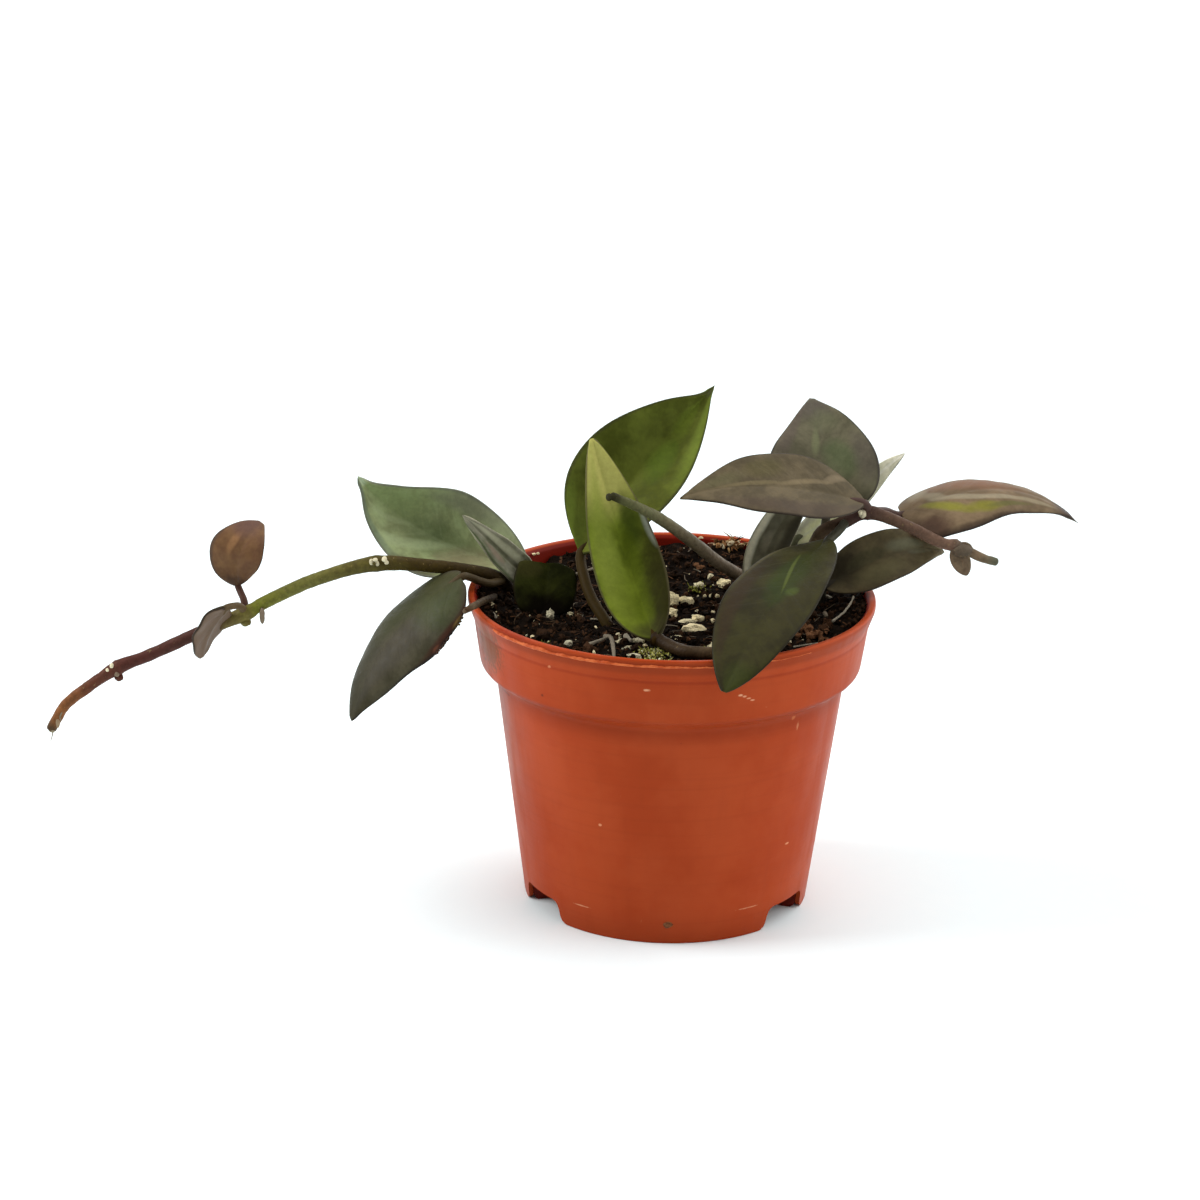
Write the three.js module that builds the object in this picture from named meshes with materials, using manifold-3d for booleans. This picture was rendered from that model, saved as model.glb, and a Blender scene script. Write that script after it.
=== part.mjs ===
// A young wax plant with dark leaves, trailing out of a small nursery pot.
// Millimetres, +Z up. The pot's front looks towards -Y, and the longest vine reaches out
// towards -X. The places below count from the middle of the pot's foot, at table level.
import * as THREE from 'three';
import { mergeVertices } from 'three/addons/utils/BufferGeometryUtils.js';
import Module from 'manifold-3d';

const wasm = await Module();
wasm.setup();

// The pot's middle stands here, so that the whole outline lies evenly round the origin
const POT_PLACE = [22, 2.5, 0];

// Pot: a thin moulded cup with a tall collar, a rolled lip and three feet
const POT_HEIGHT = 66.2;
const POT_WALL = 1.0;
const FOOT_RADIUS = 30.1;
const BODY_TOP_RADIUS = 36.6;
const BODY_TOP_Z = 49.7;
const COLLAR_BOTTOM_RADIUS = 40.1;
const COLLAR_BOTTOM_Z = 52.4;
const COLLAR_TOP_RADIUS = 41.2;
const COLLAR_TOP_Z = 64.7;
const SHOULDER_ROUNDING = 0.5;
const LIP_RADIUS = 42.5;
const LIP_STEP = 0.3;
const LIP_ROUNDING = 0.35;
const LIP_CHAMFER = 0.8;
const FLOOR_Z = 5.0;
const FLOOR_THICKNESS = 1.2;
const POT_SEGMENTS = 48;

// Feet: three arches are cut out of the skirt under the floor
const FOOT_COUNT = 3;
const FIRST_ARCH_AZIMUTH = -62.5;
const ARCH_HEIGHT = 3.5;
const ARCH_HALF_WIDTH = 10.3;
const ARCH_TOP_HALF_WIDTH = 4.6;
const DRAIN_COUNT = 6;
const DRAIN_RADIUS = 2.5;
const DRAIN_CIRCLE = 18;

// Soil
const SOIL_Z = 62.5;
const SOIL_RADIUS = 39.2;
const SOIL_RINGS = 7;
const SOIL_SPOKES = 28;
const SOIL_UNEVENNESS = 0.7;
const SOIL_SHOULDER = 1.5;
const SOIL_EDGE = 2;
const CLEARANCE = 0.3;
const SOIL_GAP = 0.5;
const GRAIN_COUNT = 20;
const GRAIN_SMALL = 0.9;
const GRAIN_LARGE = 1.9;
const GRAIN_MARGIN = 3;
const GRAIN_SEED = 11;

// Stems: centre lines from the root outwards, with the places of their thick nodes
const STEM_SIDES = 8;
const STEM_STEPS_PER_POINT = 2;
const NODE_SWELLING = 0.28;
const NODE_SPREAD = 0.35;
const STEMS = {
  vine_left: {
    radius: 1.4,
    tipRadius: 1.05,
    nodes: [6, 10, 13],
    knobs: [
      { at: [-85, -4.6, 62.6], size: [0.6, 0.6, 1.9] },
      { at: [-88.6, -3.8, 59.7], size: [1.2, 1.0, 1.0] },
      { at: [-115, -6, 47.8], size: [1.0, 0.9, 0.9] },
    ],
    route: [
      [-33, 12, 56], [-34, 9.5, 61.5], [-34.8, 7, 65], [-36.5, 5.3, 67.2], [-40, 4.5, 68.5],
      [-48.5, 2.5, 70.3], [-61.5, -0.5, 71.8], [-73, -2, 69], [-80, -2.5, 66],
      [-85.5, -3, 63.2], [-88.5, -3.5, 61.5], [-98, -4, 57.3], [-108.5, -5, 52.5],
      [-115, -6, 50], [-121, -6.5, 46], [-126, -7, 42], [-128.5, -7, 38], [-129.5, -7, 36.5],
    ],
  },
  vine_right: {
    radius: 1.35,
    tipRadius: 0.55,
    nodes: [8, 11],
    knobs: [
      { at: [39.3, 2.6, 83.3], size: [0.8, 0.8, 0.9] },
      { at: [60.2, 0.6, 76.2], size: [2.2, 1.5, 1.5] },
    ],
    route: [
      [26.5, 7, 56], [27, 6.5, 61.5], [27.8, 5.5, 66.5], [28.5, 5, 70.3], [29.2, 4.2, 74.3],
      [30, 4, 77], [31.7, 4, 79.3], [36, 4, 81.1], [40.5, 4, 83.2], [48, 3, 81],
      [55.5, 2, 77.6], [58.7, 1.5, 77], [61.5, 1, 76], [64.3, 0, 74.9], [67.2, 0, 74.1],
    ],
  },
  vine_centre: {
    radius: 1.4,
    tipRadius: 1.2,
    nodes: [],
    knobs: [],
    route: [
      [20.5, 21, 56], [18, 17.5, 61.5], [15.2, 13, 65.5], [9.6, 5, 71.5],
      [3.4, -4.5, 79.3], [-3, -12.5, 86.2], [-7.2, -16, 89.5], [-12.8, -17.5, 92.4],
    ],
  },
  vine_front: {
    radius: 1.35,
    tipRadius: 1.35,
    nodes: [0],
    knobs: [],
    route: [
      [-3.5, -25, 64.8], [-1, -27.5, 64.3], [2.2, -31, 64.3], [5.2, -31.8, 64.3],
      [8.6, -32, 64], [12, -31.5, 61.5], [14, -30.5, 57],
    ],
  },
  stub_left: {
    radius: 1.0,
    tipRadius: 0.9,
    nodes: [],
    knobs: [],
    route: [
      [-35, 9, 57], [-36.4, 5.5, 62.5], [-37.7, -4, 65.7], [-39.6, -14.2, 68.1],
      [-41, -18, 68.5], [-42.1, -19.4, 68.3],
    ],
  },
};

// Leaves: base, middle and tip of the midrib, the way the upper face looks, the widths left
// and right of the midrib, how early and how sharply the blade tapers, and how it folds.
const BLADE_THICKNESS = 1.0;
const BLADE_EDGE_THICKNESS = 0.7;
const BLADE_ROWS = 12;
const BLADE_COLUMNS = 4;
const BLADE_START = 0.01;
const BLADE_END = 0.99;
const STALK_RADIUS = 0.95;
const STALK_REACH = 0.1;
const LEAVES = {
  leaf_round_young: {
    base: [-90.5, 0, 66.5], middle: [-89.5, -3, 74.7], tip: [-85.5, 3.5, 79],
    facing: [0, -0.91, 0.42], left: 6.4, right: 5, early: 0.66, sharp: 0.76,
    twist: 4, foldLeft: 3, foldRight: 10, cup: -0.12, stalkRadius: 0.75,
    stalk: [[-88.5, -3.5, 61.5], [-89, -2.5, 64]],
  },
  leaf_curled_young: {
    base: [-92, -8.5, 64.3], middle: [-95.7, -8.5, 59.4], tip: [-97.5, -8, 53],
    facing: [-0.89, 0.31, 0.34], left: 6, right: 6.2, early: 0.47, sharp: 0.74,
    twist: 3, foldLeft: 15, foldRight: -2, cup: -0.11, stalkRadius: 0.75,
    stalk: [[-88.5, -3.5, 61.5], [-89.7, -5.7, 63.8]],
  },
  leaf_left_drooping: {
    base: [-43.5, -4.5, 70.5], middle: [-58, -7.5, 58.2], tip: [-66, -13.5, 41.5],
    facing: [-0.49, -0.4, 0.77], left: 11.2, right: 11, early: 0.45, sharp: 0.94,
    twist: 7, foldLeft: 3, foldRight: -1, cup: -0.35,
    stalk: [[-35.5, 5.2, 66.7], [-38, 2.2, 66.9], [-40.4, 0.8, 68], [-42, -1.5, 69.4]],
  },
  leaf_left_broad: {
    base: [-30, 10.7, 66.8], middle: [-52.5, 20, 72], tip: [-66.5, 14.3, 85.7],
    facing: [-0.04, -0.81, 0.59], left: 12.2, right: 10.9, early: 0.68, sharp: 1.05,
    twist: 38, foldLeft: 23, foldRight: 17, cup: 0.26,
    stalk: [[-26, 14.5, 58], [-27.5, 13, 63]],
  },
  leaf_left_folded: {
    base: [-30, 7, 66], middle: [-36, 6.5, 72], tip: [-44, 6, 80.6],
    facing: [0.2, -0.78, 0.58], left: 3.2, right: 3.9, early: 0.35, sharp: 0.8,
    twist: 0, foldLeft: 14, foldRight: 14, cup: 0,
    stalk: [[-26.5, 9, 58], [-28, 8, 62.5]],
  },
  leaf_left_low: {
    base: [-25.7, -5, 64.5], middle: [-26, -1.5, 68.3], tip: [-25.5, 2, 71.7],
    facing: [0, -0.85, 0.53], left: 6.8, right: 6.9, early: 0.35, sharp: 0.5,
    twist: 2, foldLeft: 10, foldRight: 10, cup: 0,
    stalk: [[-25, -8, 58], [-25.5, -7, 62]],
  },
  leaf_centre_tall: {
    base: [-19, 3.5, 73.5], middle: [-5.5, 6, 92.7], tip: [7.5, 7.5, 108.6],
    facing: [-0.16, -0.92, 0.37], left: 12.1, right: 11.1, early: 0.79, sharp: 1.24,
    twist: -44, foldLeft: 16, foldRight: 20, cup: 0.23, stalkRadius: 1.3,
    stalk: [[-9, -13, 57], [-12, -9, 62], [-15.7, -2, 65.9], [-18, 2.5, 69]],
  },
  leaf_centre_upright: {
    base: [-4, -25.5, 66], middle: [-10, -13, 78.5], tip: [-17.2, -5, 101],
    facing: [0.05, -0.87, 0.49], left: 7.7, right: 7.4, early: 0.57, sharp: 0.73,
    twist: -21, foldLeft: 17, foldRight: 19, cup: 0.07,
    stalk: [[-3.5, -25.2, 64.8]],
  },
  leaf_right_front: {
    base: [32, -4, 79.5], middle: [20, -28, 74.5], tip: [10.5, -47.5, 62],
    facing: [-0.18, -0.5, 0.85], left: 9.3, right: 9.7, early: 0.74, sharp: 0.85,
    twist: 20, foldLeft: 11, foldRight: 11, cup: -0.06,
    stalk: [[36, 4, 81.1], [34.3, 0, 80.4]],
  },
  leaf_right_heart: {
    base: [32, 6.5, 81.8], middle: [31, 13.5, 93.5], tip: [29, 26, 101.7],
    facing: [-0.06, -0.81, 0.58], left: 12.2, right: 11.8, early: 0.47, sharp: 1.05,
    twist: 15, foldLeft: 10, foldRight: 12, cup: -0.03,
    stalk: [[31.7, 4, 79.3]],
  },
  leaf_right_inner: {
    base: [18.5, 6, 64], middle: [20, 3.5, 75.5], tip: [26.8, 5, 86.6],
    facing: [0.11, -0.95, 0.29], left: 4.6, right: 4.2, early: 0.4, sharp: 0.4,
    twist: -1, foldLeft: 16, foldRight: 12, cup: 0,
    stalk: [[18, 7, 58]],
  },
  leaf_right_top: {
    base: [39.5, 2.5, 85.6], middle: [18.5, -3.5, 90.6], tip: [1, -6, 88.5],
    facing: [-0.09, -0.55, 0.83], left: 8.5, right: 8.7, early: 0.69, sharp: 1.19,
    twist: 1, foldLeft: 9, foldRight: 12, cup: -0.03,
    stalk: [[40.5, 4, 83.2]],
  },
  leaf_right_pale: {
    base: [26, 12, 74.2], middle: [36.5, 16, 81], tip: [49, 24, 91],
    facing: [0.2, -0.9, 0.4], left: 3.5, right: 3.5, early: 0.52, sharp: 0.82,
    twist: 0, foldLeft: 12, foldRight: 12, cup: 0,
    stalk: [[24, 13, 58], [24, 12.5, 66]],
  },
  leaf_right_end: {
    base: [48, 6.5, 82], middle: [68.5, 9.2, 87], tip: [86, 14.5, 78.2],
    facing: [-0.02, -0.2, 0.98], left: 9.9, right: 10.5, early: 0.31, sharp: 1.22,
    twist: 4, foldLeft: 2, foldRight: 2, cup: -0.33,
    stalk: [[40.5, 4, 83.2], [44.5, 5.8, 83]],
  },
  leaf_right_rear: {
    base: [34, 3.5, 67.8], middle: [47, 4.7, 74.5], tip: [57.2, 9, 73.1],
    facing: [0.11, -0.7, 0.71], left: 6, right: 6.4, early: 0.58, sharp: 1.05,
    twist: 3, foldLeft: 11, foldRight: 11, cup: -0.04,
    stalk: [[31, 5.5, 58], [31.5, 5, 64]],
  },
};

// Two young leaves grow with the tip of the right vine
const TIP_LEAVES = [
  {
    base: [58.2, 1.2, 76.2], middle: [59.6, 0, 73.2], tip: [61, -1, 70.9],
    facing: [-0.3, -0.8, 0.5], left: 1.7, right: 1.7, early: 0.5, sharp: 0.7,
    twist: 0, foldLeft: 12, foldRight: 12, cup: 0, rows: 6, stalkRadius: 0.6,
    stalk: [[58.7, 1.5, 77]],
  },
  {
    base: [58.4, 1.8, 78], middle: [57.6, 2.2, 79.8], tip: [57.4, 2.5, 81.2],
    facing: [0, -0.9, 0.4], left: 1.1, right: 1.1, early: 0.5, sharp: 0.8,
    twist: 0, foldLeft: 10, foldRight: 10, cup: 0, rows: 5, stalkRadius: 0.5,
    stalk: [[58.7, 1.5, 77]],
  },
];

// White grains that stand out in the soil, at their places on its surface
const PERLITE = [
  { at: [0, 0], size: 1.6 }, { at: [2.9, 3.5], size: 1.3 }, { at: [5, -15.5], size: 2 },
  { at: [-0.8, -6.4], size: 1.2 }, { at: [7.5, 18.5], size: 1.2 }, { at: [10.1, 9.5], size: 1.4 },
  { at: [-24, -12], size: 1 }, { at: [-28.7, -19], size: 1.1 }, { at: [4.4, 25.2], size: 1.2 },
  { at: [37, -3.2], size: 1 }, { at: [-10.8, -28.5], size: 1.2 }, { at: [-6.7, -31], size: 1.3 },
];

const COLOURS = {
  pot: '#b1532f',
  soil: '#2a1d18',
  stem: '#5f4f36',
  vine_left: '#6b5236',
  leaf_round_young: '#8a5544',
  leaf_curled_young: '#6b5a4e',
  leaf_left_drooping: '#4b4a40',
  leaf_left_broad: '#66735a',
  leaf_left_folded: '#5d6653',
  leaf_left_low: '#1d2a17',
  leaf_centre_tall: '#4d6220',
  leaf_centre_upright: '#7f9440',
  leaf_right_front: '#454a36',
  leaf_right_heart: '#55564a',
  leaf_right_inner: '#3f463a',
  leaf_right_top: '#6a5f50',
  leaf_right_pale: '#97a273',
  leaf_right_end: '#70604c',
  leaf_right_rear: '#3b4530',
};

const vector = (point) => new THREE.Vector3(...point);
const radians = THREE.MathUtils.degToRad;

// A repeatable stream of numbers between 0 and 1
function randomStream(seed) {
  let state = seed;
  return () => {
    state = (state * 1664525 + 1013904223) % 4294967296;
    return state / 4294967296;
  };
}

// A closed three.js mesh as a solid that can be joined and cut
function solidOf(geometry) {
  const bare = geometry.index ? geometry : mergeVertices(geometry);
  bare.deleteAttribute('normal');
  bare.deleteAttribute('uv');
  const merged = mergeVertices(bare, 1e-4);
  const mesh = new wasm.Mesh({
    numProp: 3,
    vertProperties: new Float32Array(merged.attributes.position.array),
    triVerts: new Uint32Array(merged.index.array),
  });
  return new wasm.Manifold(mesh);
}

function geometryOf(solid) {
  const mesh = solid.getMesh();
  const geometry = new THREE.BufferGeometry();
  geometry.setAttribute('position', new THREE.BufferAttribute(mesh.vertProperties, 3));
  geometry.setIndex(new THREE.BufferAttribute(mesh.triVerts, 1));
  geometry.computeVertexNormals();
  return geometry;
}

function join(solids) {
  return solids.reduce((whole, solid) => whole.add(solid));
}

function cut(solid, tools) {
  return tools.reduce((rest, tool) => rest.subtract(tool), solid);
}

// Pot

// Outer radius of the sloping body at a height
function bodyRadius(z) {
  return FOOT_RADIUS + (BODY_TOP_RADIUS - FOOT_RADIUS) * z / BODY_TOP_Z;
}

function potOutline() {
  const floorTop = FLOOR_Z + FLOOR_THICKNESS;
  const shoulder = [
    [BODY_TOP_RADIUS, BODY_TOP_Z],
    [BODY_TOP_RADIUS + SHOULDER_ROUNDING, BODY_TOP_Z + SHOULDER_ROUNDING],
    [COLLAR_BOTTOM_RADIUS - SHOULDER_ROUNDING, COLLAR_BOTTOM_Z - SHOULDER_ROUNDING],
    [COLLAR_BOTTOM_RADIUS, COLLAR_BOTTOM_Z],
  ];
  const inward = shoulder.map(([r, z]) => [r - POT_WALL, z + POT_WALL / 2]).reverse();
  const lipZ = COLLAR_TOP_Z + LIP_STEP;
  const outline = [
    [0, FLOOR_Z],
    [bodyRadius(FLOOR_Z) - POT_WALL, FLOOR_Z],
    [FOOT_RADIUS - POT_WALL, 0],
    [FOOT_RADIUS, 0],
    ...shoulder,
    [COLLAR_TOP_RADIUS, COLLAR_TOP_Z],
    [LIP_RADIUS - LIP_ROUNDING, lipZ],
    [LIP_RADIUS, lipZ + LIP_ROUNDING],
    [LIP_RADIUS, POT_HEIGHT - LIP_ROUNDING],
    [LIP_RADIUS - LIP_ROUNDING, POT_HEIGHT],
    [COLLAR_TOP_RADIUS - POT_WALL + LIP_CHAMFER, POT_HEIGHT],
    [COLLAR_TOP_RADIUS - POT_WALL, POT_HEIGHT - LIP_CHAMFER],
    ...inward,
    [bodyRadius(floorTop) - POT_WALL, floorTop],
    [0, floorTop],
  ];
  return outline.map(([r, z]) => new THREE.Vector2(r, z));
}

// A lathed outline stands along Y, so it is turned to stand along Z
function latheSolid(outline, segments) {
  const geometry = new THREE.LatheGeometry(outline, segments);
  geometry.rotateX(Math.PI / 2);
  return solidOf(geometry);
}

// One arched gap under the skirt, cut straight out from the middle
function archSolid(azimuth) {
  const shape = new THREE.Shape();
  shape.moveTo(-ARCH_HALF_WIDTH, -1);
  shape.lineTo(ARCH_HALF_WIDTH, -1);
  shape.lineTo(ARCH_HALF_WIDTH, 0);
  shape.quadraticCurveTo(
    ARCH_TOP_HALF_WIDTH * 1.3, ARCH_HEIGHT * 0.35, ARCH_TOP_HALF_WIDTH, ARCH_HEIGHT);
  shape.lineTo(-ARCH_TOP_HALF_WIDTH, ARCH_HEIGHT);
  shape.quadraticCurveTo(
    -ARCH_TOP_HALF_WIDTH * 1.3, ARCH_HEIGHT * 0.35, -ARCH_HALF_WIDTH, 0);
  shape.closePath();
  const inner = FOOT_RADIUS * 0.8;
  const geometry = new THREE.ExtrudeGeometry(shape, {
    depth: FOOT_RADIUS * 0.4, bevelEnabled: false, curveSegments: 4,
  });
  geometry.translate(0, 0, inner);
  geometry.rotateX(Math.PI / 2);
  geometry.rotateZ(radians(azimuth));
  return solidOf(geometry);
}

function drainSolid(index) {
  const angle = 2 * Math.PI * index / DRAIN_COUNT;
  const geometry = new THREE.CylinderGeometry(DRAIN_RADIUS, DRAIN_RADIUS, 4, 12);
  geometry.rotateX(Math.PI / 2);
  geometry.translate(
    DRAIN_CIRCLE * Math.cos(angle), DRAIN_CIRCLE * Math.sin(angle), FLOOR_Z + FLOOR_THICKNESS / 2);
  return solidOf(geometry);
}

function potSolid() {
  const arches = [];
  for (let i = 0; i < FOOT_COUNT; i += 1) {
    arches.push(archSolid(FIRST_ARCH_AZIMUTH + i * 360 / FOOT_COUNT));
  }
  const drains = [];
  for (let i = 0; i < DRAIN_COUNT; i += 1) {
    drains.push(drainSolid(i));
  }
  return cut(latheSolid(potOutline(), POT_SEGMENTS), [...arches, ...drains]);
}

// Stems

// A closed round rod along a smooth route, with its own radius at each station
function rodSolid(route, radiusAt, sides = STEM_SIDES, stepsPerPoint = STEM_STEPS_PER_POINT) {
  const curve = new THREE.CatmullRomCurve3(route.map(vector), false, 'catmullrom', 0.5);
  const steps = (route.length - 1) * stepsPerPoint;
  const stations = [];
  let side = null;
  for (let i = 0; i <= steps; i += 1) {
    const along = curve.getTangent(i / steps);
    side = side ?? new THREE.Vector3(0.3, 0.9, 0.2).cross(along);
    side.addScaledVector(along, -side.dot(along)).normalize();
    stations.push({
      centre: curve.getPoint(i / steps),
      side: side.clone(),
      over: along.clone().cross(side),
      radius: radiusAt(i / stepsPerPoint),
    });
  }
  const geometry = new THREE.CylinderGeometry(1, 1, 1, sides, steps);
  const position = geometry.attributes.position;
  for (let i = 0; i < position.count; i += 1) {
    const station = stations[Math.round((position.getY(i) + 0.5) * steps)];
    const place = station.centre.clone();
    place.addScaledVector(station.over, position.getX(i) * station.radius);
    place.addScaledVector(station.side, position.getZ(i) * station.radius);
    position.setXYZ(i, place.x, place.y, place.z);
  }
  return solidOf(geometry);
}

// The route made longer at both ends, so that a hole cut for a rod is deeper than the rod
function lengthened(route, extra) {
  const [first, second] = route.slice(0, 2).map(vector);
  const [last, lastButOne] = route.slice(-2).reverse().map(vector);
  const start = first.clone().addScaledVector(first.clone().sub(second).normalize(), extra);
  const end = last.clone().addScaledVector(last.clone().sub(lastButOne).normalize(), extra);
  return [start.toArray(), ...route.slice(1, -1), end.toArray()];
}

// Radius of a stem at a place counted in route points from its root
function stemRadius(stem, place, extra) {
  const last = stem.route.length - 1;
  let radius = stem.radius + (stem.tipRadius - stem.radius) * (place / last) ** 3;
  for (const node of stem.nodes) {
    radius += NODE_SWELLING * Math.exp(-(((place - node) / NODE_SPREAD) ** 2));
  }
  return radius + extra;
}

// A small rounded outgrowth: a bud, a scar or a root stub
function knobSolid(knob, extra) {
  const geometry = new THREE.IcosahedronGeometry(1, 1);
  geometry.scale(...knob.size.map((size) => size + extra));
  geometry.translate(...knob.at);
  return solidOf(geometry);
}

function stemSolid(stem, extra = 0) {
  const rod = rodSolid(lengthened(stem.route, extra), (place) => stemRadius(stem, place, extra));
  return join([rod, ...stem.knobs.map((knob) => knobSolid(knob, extra))]);
}

// Leaves

// Point of a blade, and the way its face looks there. Along runs from base to tip, and
// across from -1 at the left edge to 1 at the right edge.
function bladePlace(leaf, along, across) {
  const base = vector(leaf.base);
  const tip = vector(leaf.tip);
  const pull = vector(leaf.middle).multiplyScalar(2).addScaledVector(base, -0.5)
    .addScaledVector(tip, -0.5);
  const midrib = new THREE.QuadraticBezierCurve3(base, pull, tip);
  const forward = midrib.getTangent(along);
  const right = forward.clone().cross(vector(leaf.facing)).normalize();
  const up = right.clone().cross(forward);
  const turn = radians(leaf.twist) * (along - 0.5);
  right.applyAxisAngle(forward, -turn);
  up.applyAxisAngle(forward, -turn);

  const widest = leaf.early / (leaf.early + leaf.sharp);
  const fullest = widest ** leaf.early * (1 - widest) ** leaf.sharp;
  const fullness = along ** leaf.early * (1 - along) ** leaf.sharp / fullest;
  const width = (across < 0 ? leaf.left : leaf.right) * fullness;
  const fold = radians(across < 0 ? leaf.foldLeft : leaf.foldRight);
  const out = Math.abs(across);
  const place = midrib.getPoint(along);
  place.addScaledVector(right, width * across * Math.cos(fold));
  place.addScaledVector(up, width * out * (Math.sin(fold) + leaf.cup * out));

  const slope = out === 0 ? 0 : fold + Math.atan(2 * leaf.cup * out);
  const normal = up.clone().multiplyScalar(Math.cos(slope));
  normal.addScaledVector(right, -Math.sign(across) * Math.sin(slope));
  return { place, normal };
}

// The blade is a thin closed sheet: two like faces and the rim between them
function bladeSolid(leaf) {
  const rows = leaf.rows ?? BLADE_ROWS;
  const columns = BLADE_COLUMNS;
  const sheet = new THREE.PlaneGeometry(2, 1, columns, rows);
  const flat = sheet.attributes.position;
  const faceSize = flat.count;
  const points = new Float32Array(faceSize * 6);
  for (let i = 0; i < faceSize; i += 1) {
    const along = BLADE_START + (BLADE_END - BLADE_START) * (flat.getY(i) + 0.5);
    const across = flat.getX(i);
    const { place, normal } = bladePlace(leaf, along, across);
    const half = THREE.MathUtils.lerp(BLADE_THICKNESS, BLADE_EDGE_THICKNESS, across ** 2) / 2;
    place.clone().addScaledVector(normal, half).toArray(points, i * 3);
    place.clone().addScaledVector(normal, -half).toArray(points, (i + faceSize) * 3);
  }
  const faces = [];
  const plan = sheet.index.array;
  for (let i = 0; i < plan.length; i += 3) {
    faces.push(plan[i], plan[i + 1], plan[i + 2]);
    faces.push(plan[i] + faceSize, plan[i + 2] + faceSize, plan[i + 1] + faceSize);
  }
  const rim = [];
  const wide = columns + 1;
  for (let i = 0; i < columns; i += 1) rim.push(i);
  for (let i = 0; i < rows; i += 1) rim.push(columns + i * wide);
  for (let i = columns; i > 0; i -= 1) rim.push(rows * wide + i);
  for (let i = rows; i > 0; i -= 1) rim.push(i * wide);
  rim.forEach((here, i) => {
    const next = rim[(i + 1) % rim.length];
    faces.push(here, next, next + faceSize, here, next + faceSize, here + faceSize);
  });
  const geometry = new THREE.BufferGeometry();
  geometry.setAttribute('position', new THREE.BufferAttribute(points, 3));
  geometry.setIndex(faces);
  return solidOf(geometry);
}

// The stalk runs from its root to just inside the blade
function stalkSolid(leaf, extra = 0) {
  const inside = bladePlace(leaf, STALK_REACH, 0).place.toArray();
  const radius = (leaf.stalkRadius ?? STALK_RADIUS) + extra;
  const last = leaf.stalk.length + 1;
  const route = [...leaf.stalk, leaf.base, inside];
  return rodSolid(lengthened(route, extra), (place) => radius * (place === last ? 0.6 : 1), 6, 2);
}

function leafSolid(leaf) {
  return bladeSolid(leaf).add(stalkSolid(leaf));
}

// Soil

// Height of the soil's surface, a few gentle waves
function soilHeight(x, y) {
  const long = Math.sin(x * 0.31 + 1.3) * Math.cos(y * 0.27 - 0.6);
  const short = Math.sin(x * 0.83 - y * 0.41) * Math.cos(y * 0.77 + x * 0.29);
  return SOIL_Z + SOIL_UNEVENNESS * (0.6 * long + 0.4 * short);
}

function soilOutline() {
  const bottom = FLOOR_Z + FLOOR_THICKNESS + CLEARANCE;
  const gap = POT_WALL + SOIL_GAP;
  const outline = [
    [0, bottom],
    [bodyRadius(bottom) - gap, bottom],
    [BODY_TOP_RADIUS - gap, BODY_TOP_Z],
    [BODY_TOP_RADIUS - gap, BODY_TOP_Z + SOIL_SHOULDER],
    [COLLAR_BOTTOM_RADIUS - gap, COLLAR_BOTTOM_Z + SOIL_SHOULDER],
    [SOIL_RADIUS, SOIL_Z - SOIL_EDGE],
  ];
  for (let ring = 0; ring <= SOIL_RINGS; ring += 1) {
    outline.push([SOIL_RADIUS * (1 - ring / SOIL_RINGS), SOIL_Z]);
  }
  return outline.map(([r, z]) => new THREE.Vector2(r, z));
}

function grainSolid(x, y, size, random) {
  const geometry = new THREE.IcosahedronGeometry(1, 0);
  geometry.scale(size, size * (0.7 + 0.3 * random()), size * (0.55 + 0.25 * random()));
  geometry.rotateY(random() - 0.5);
  geometry.rotateZ(random() * Math.PI);
  geometry.translate(x, y, soilHeight(x, y) + size * 0.1);
  return solidOf(geometry);
}

function soilSolid() {
  const geometry = new THREE.LatheGeometry(soilOutline(), SOIL_SPOKES);
  geometry.rotateX(Math.PI / 2);
  const position = geometry.attributes.position;
  for (let i = 0; i < position.count; i += 1) {
    if (position.getZ(i) > SOIL_Z - 0.01) {
      position.setZ(i, soilHeight(position.getX(i), position.getY(i)));
    }
  }
  const random = randomStream(GRAIN_SEED);
  const grains = PERLITE.map((grain) => grainSolid(...grain.at, grain.size, random));
  for (let i = 0; i < GRAIN_COUNT; i += 1) {
    const angle = random() * 2 * Math.PI;
    const reach = Math.sqrt(random()) * (SOIL_RADIUS - GRAIN_MARGIN);
    const size = THREE.MathUtils.lerp(GRAIN_SMALL, GRAIN_LARGE, random());
    grains.push(grainSolid(reach * Math.cos(angle), reach * Math.sin(angle), size, random));
  }
  return join([solidOf(geometry), ...grains]);
}

// The plant in its pot
const plant = new THREE.Group();

function place(name, solid, colour, roughness) {
  const material = new THREE.MeshStandardMaterial({ color: colour, roughness, metalness: 0 });
  const mesh = new THREE.Mesh(geometryOf(solid), material);
  mesh.name = name;
  plant.add(mesh);
}

const stems = Object.values(STEMS);
const wideStems = stems.map((stem) => stemSolid(stem, CLEARANCE));
const leaves = Object.values(LEAVES);
const wideStalks = leaves.map((leaf) => stalkSolid(leaf, CLEARANCE));

place('pot', potSolid(), COLOURS.pot, 0.5);
place('soil', cut(soilSolid(), [...wideStems, ...wideStalks]), COLOURS.soil, 0.95);
for (const [name, stem] of Object.entries(STEMS)) {
  const youngLeaves = name === 'vine_right' ? TIP_LEAVES.map(leafSolid) : [];
  place(name, join([stemSolid(stem), ...youngLeaves]), COLOURS[name] ?? COLOURS.stem, 0.6);
}
for (const [name, leaf] of Object.entries(LEAVES)) {
  place(name, cut(leafSolid(leaf), wideStems), COLOURS[name], 0.45);
}

plant.position.set(...POT_PLACE);

export default plant;
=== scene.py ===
"""A young wax plant with dark leaves, which trails out of a small nursery pot.

Sizes and places are in millimetres, counted from the middle of the pot's foot, which stands at
POT_PLACE in the solids' frame.
"""

import math
import random

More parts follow.
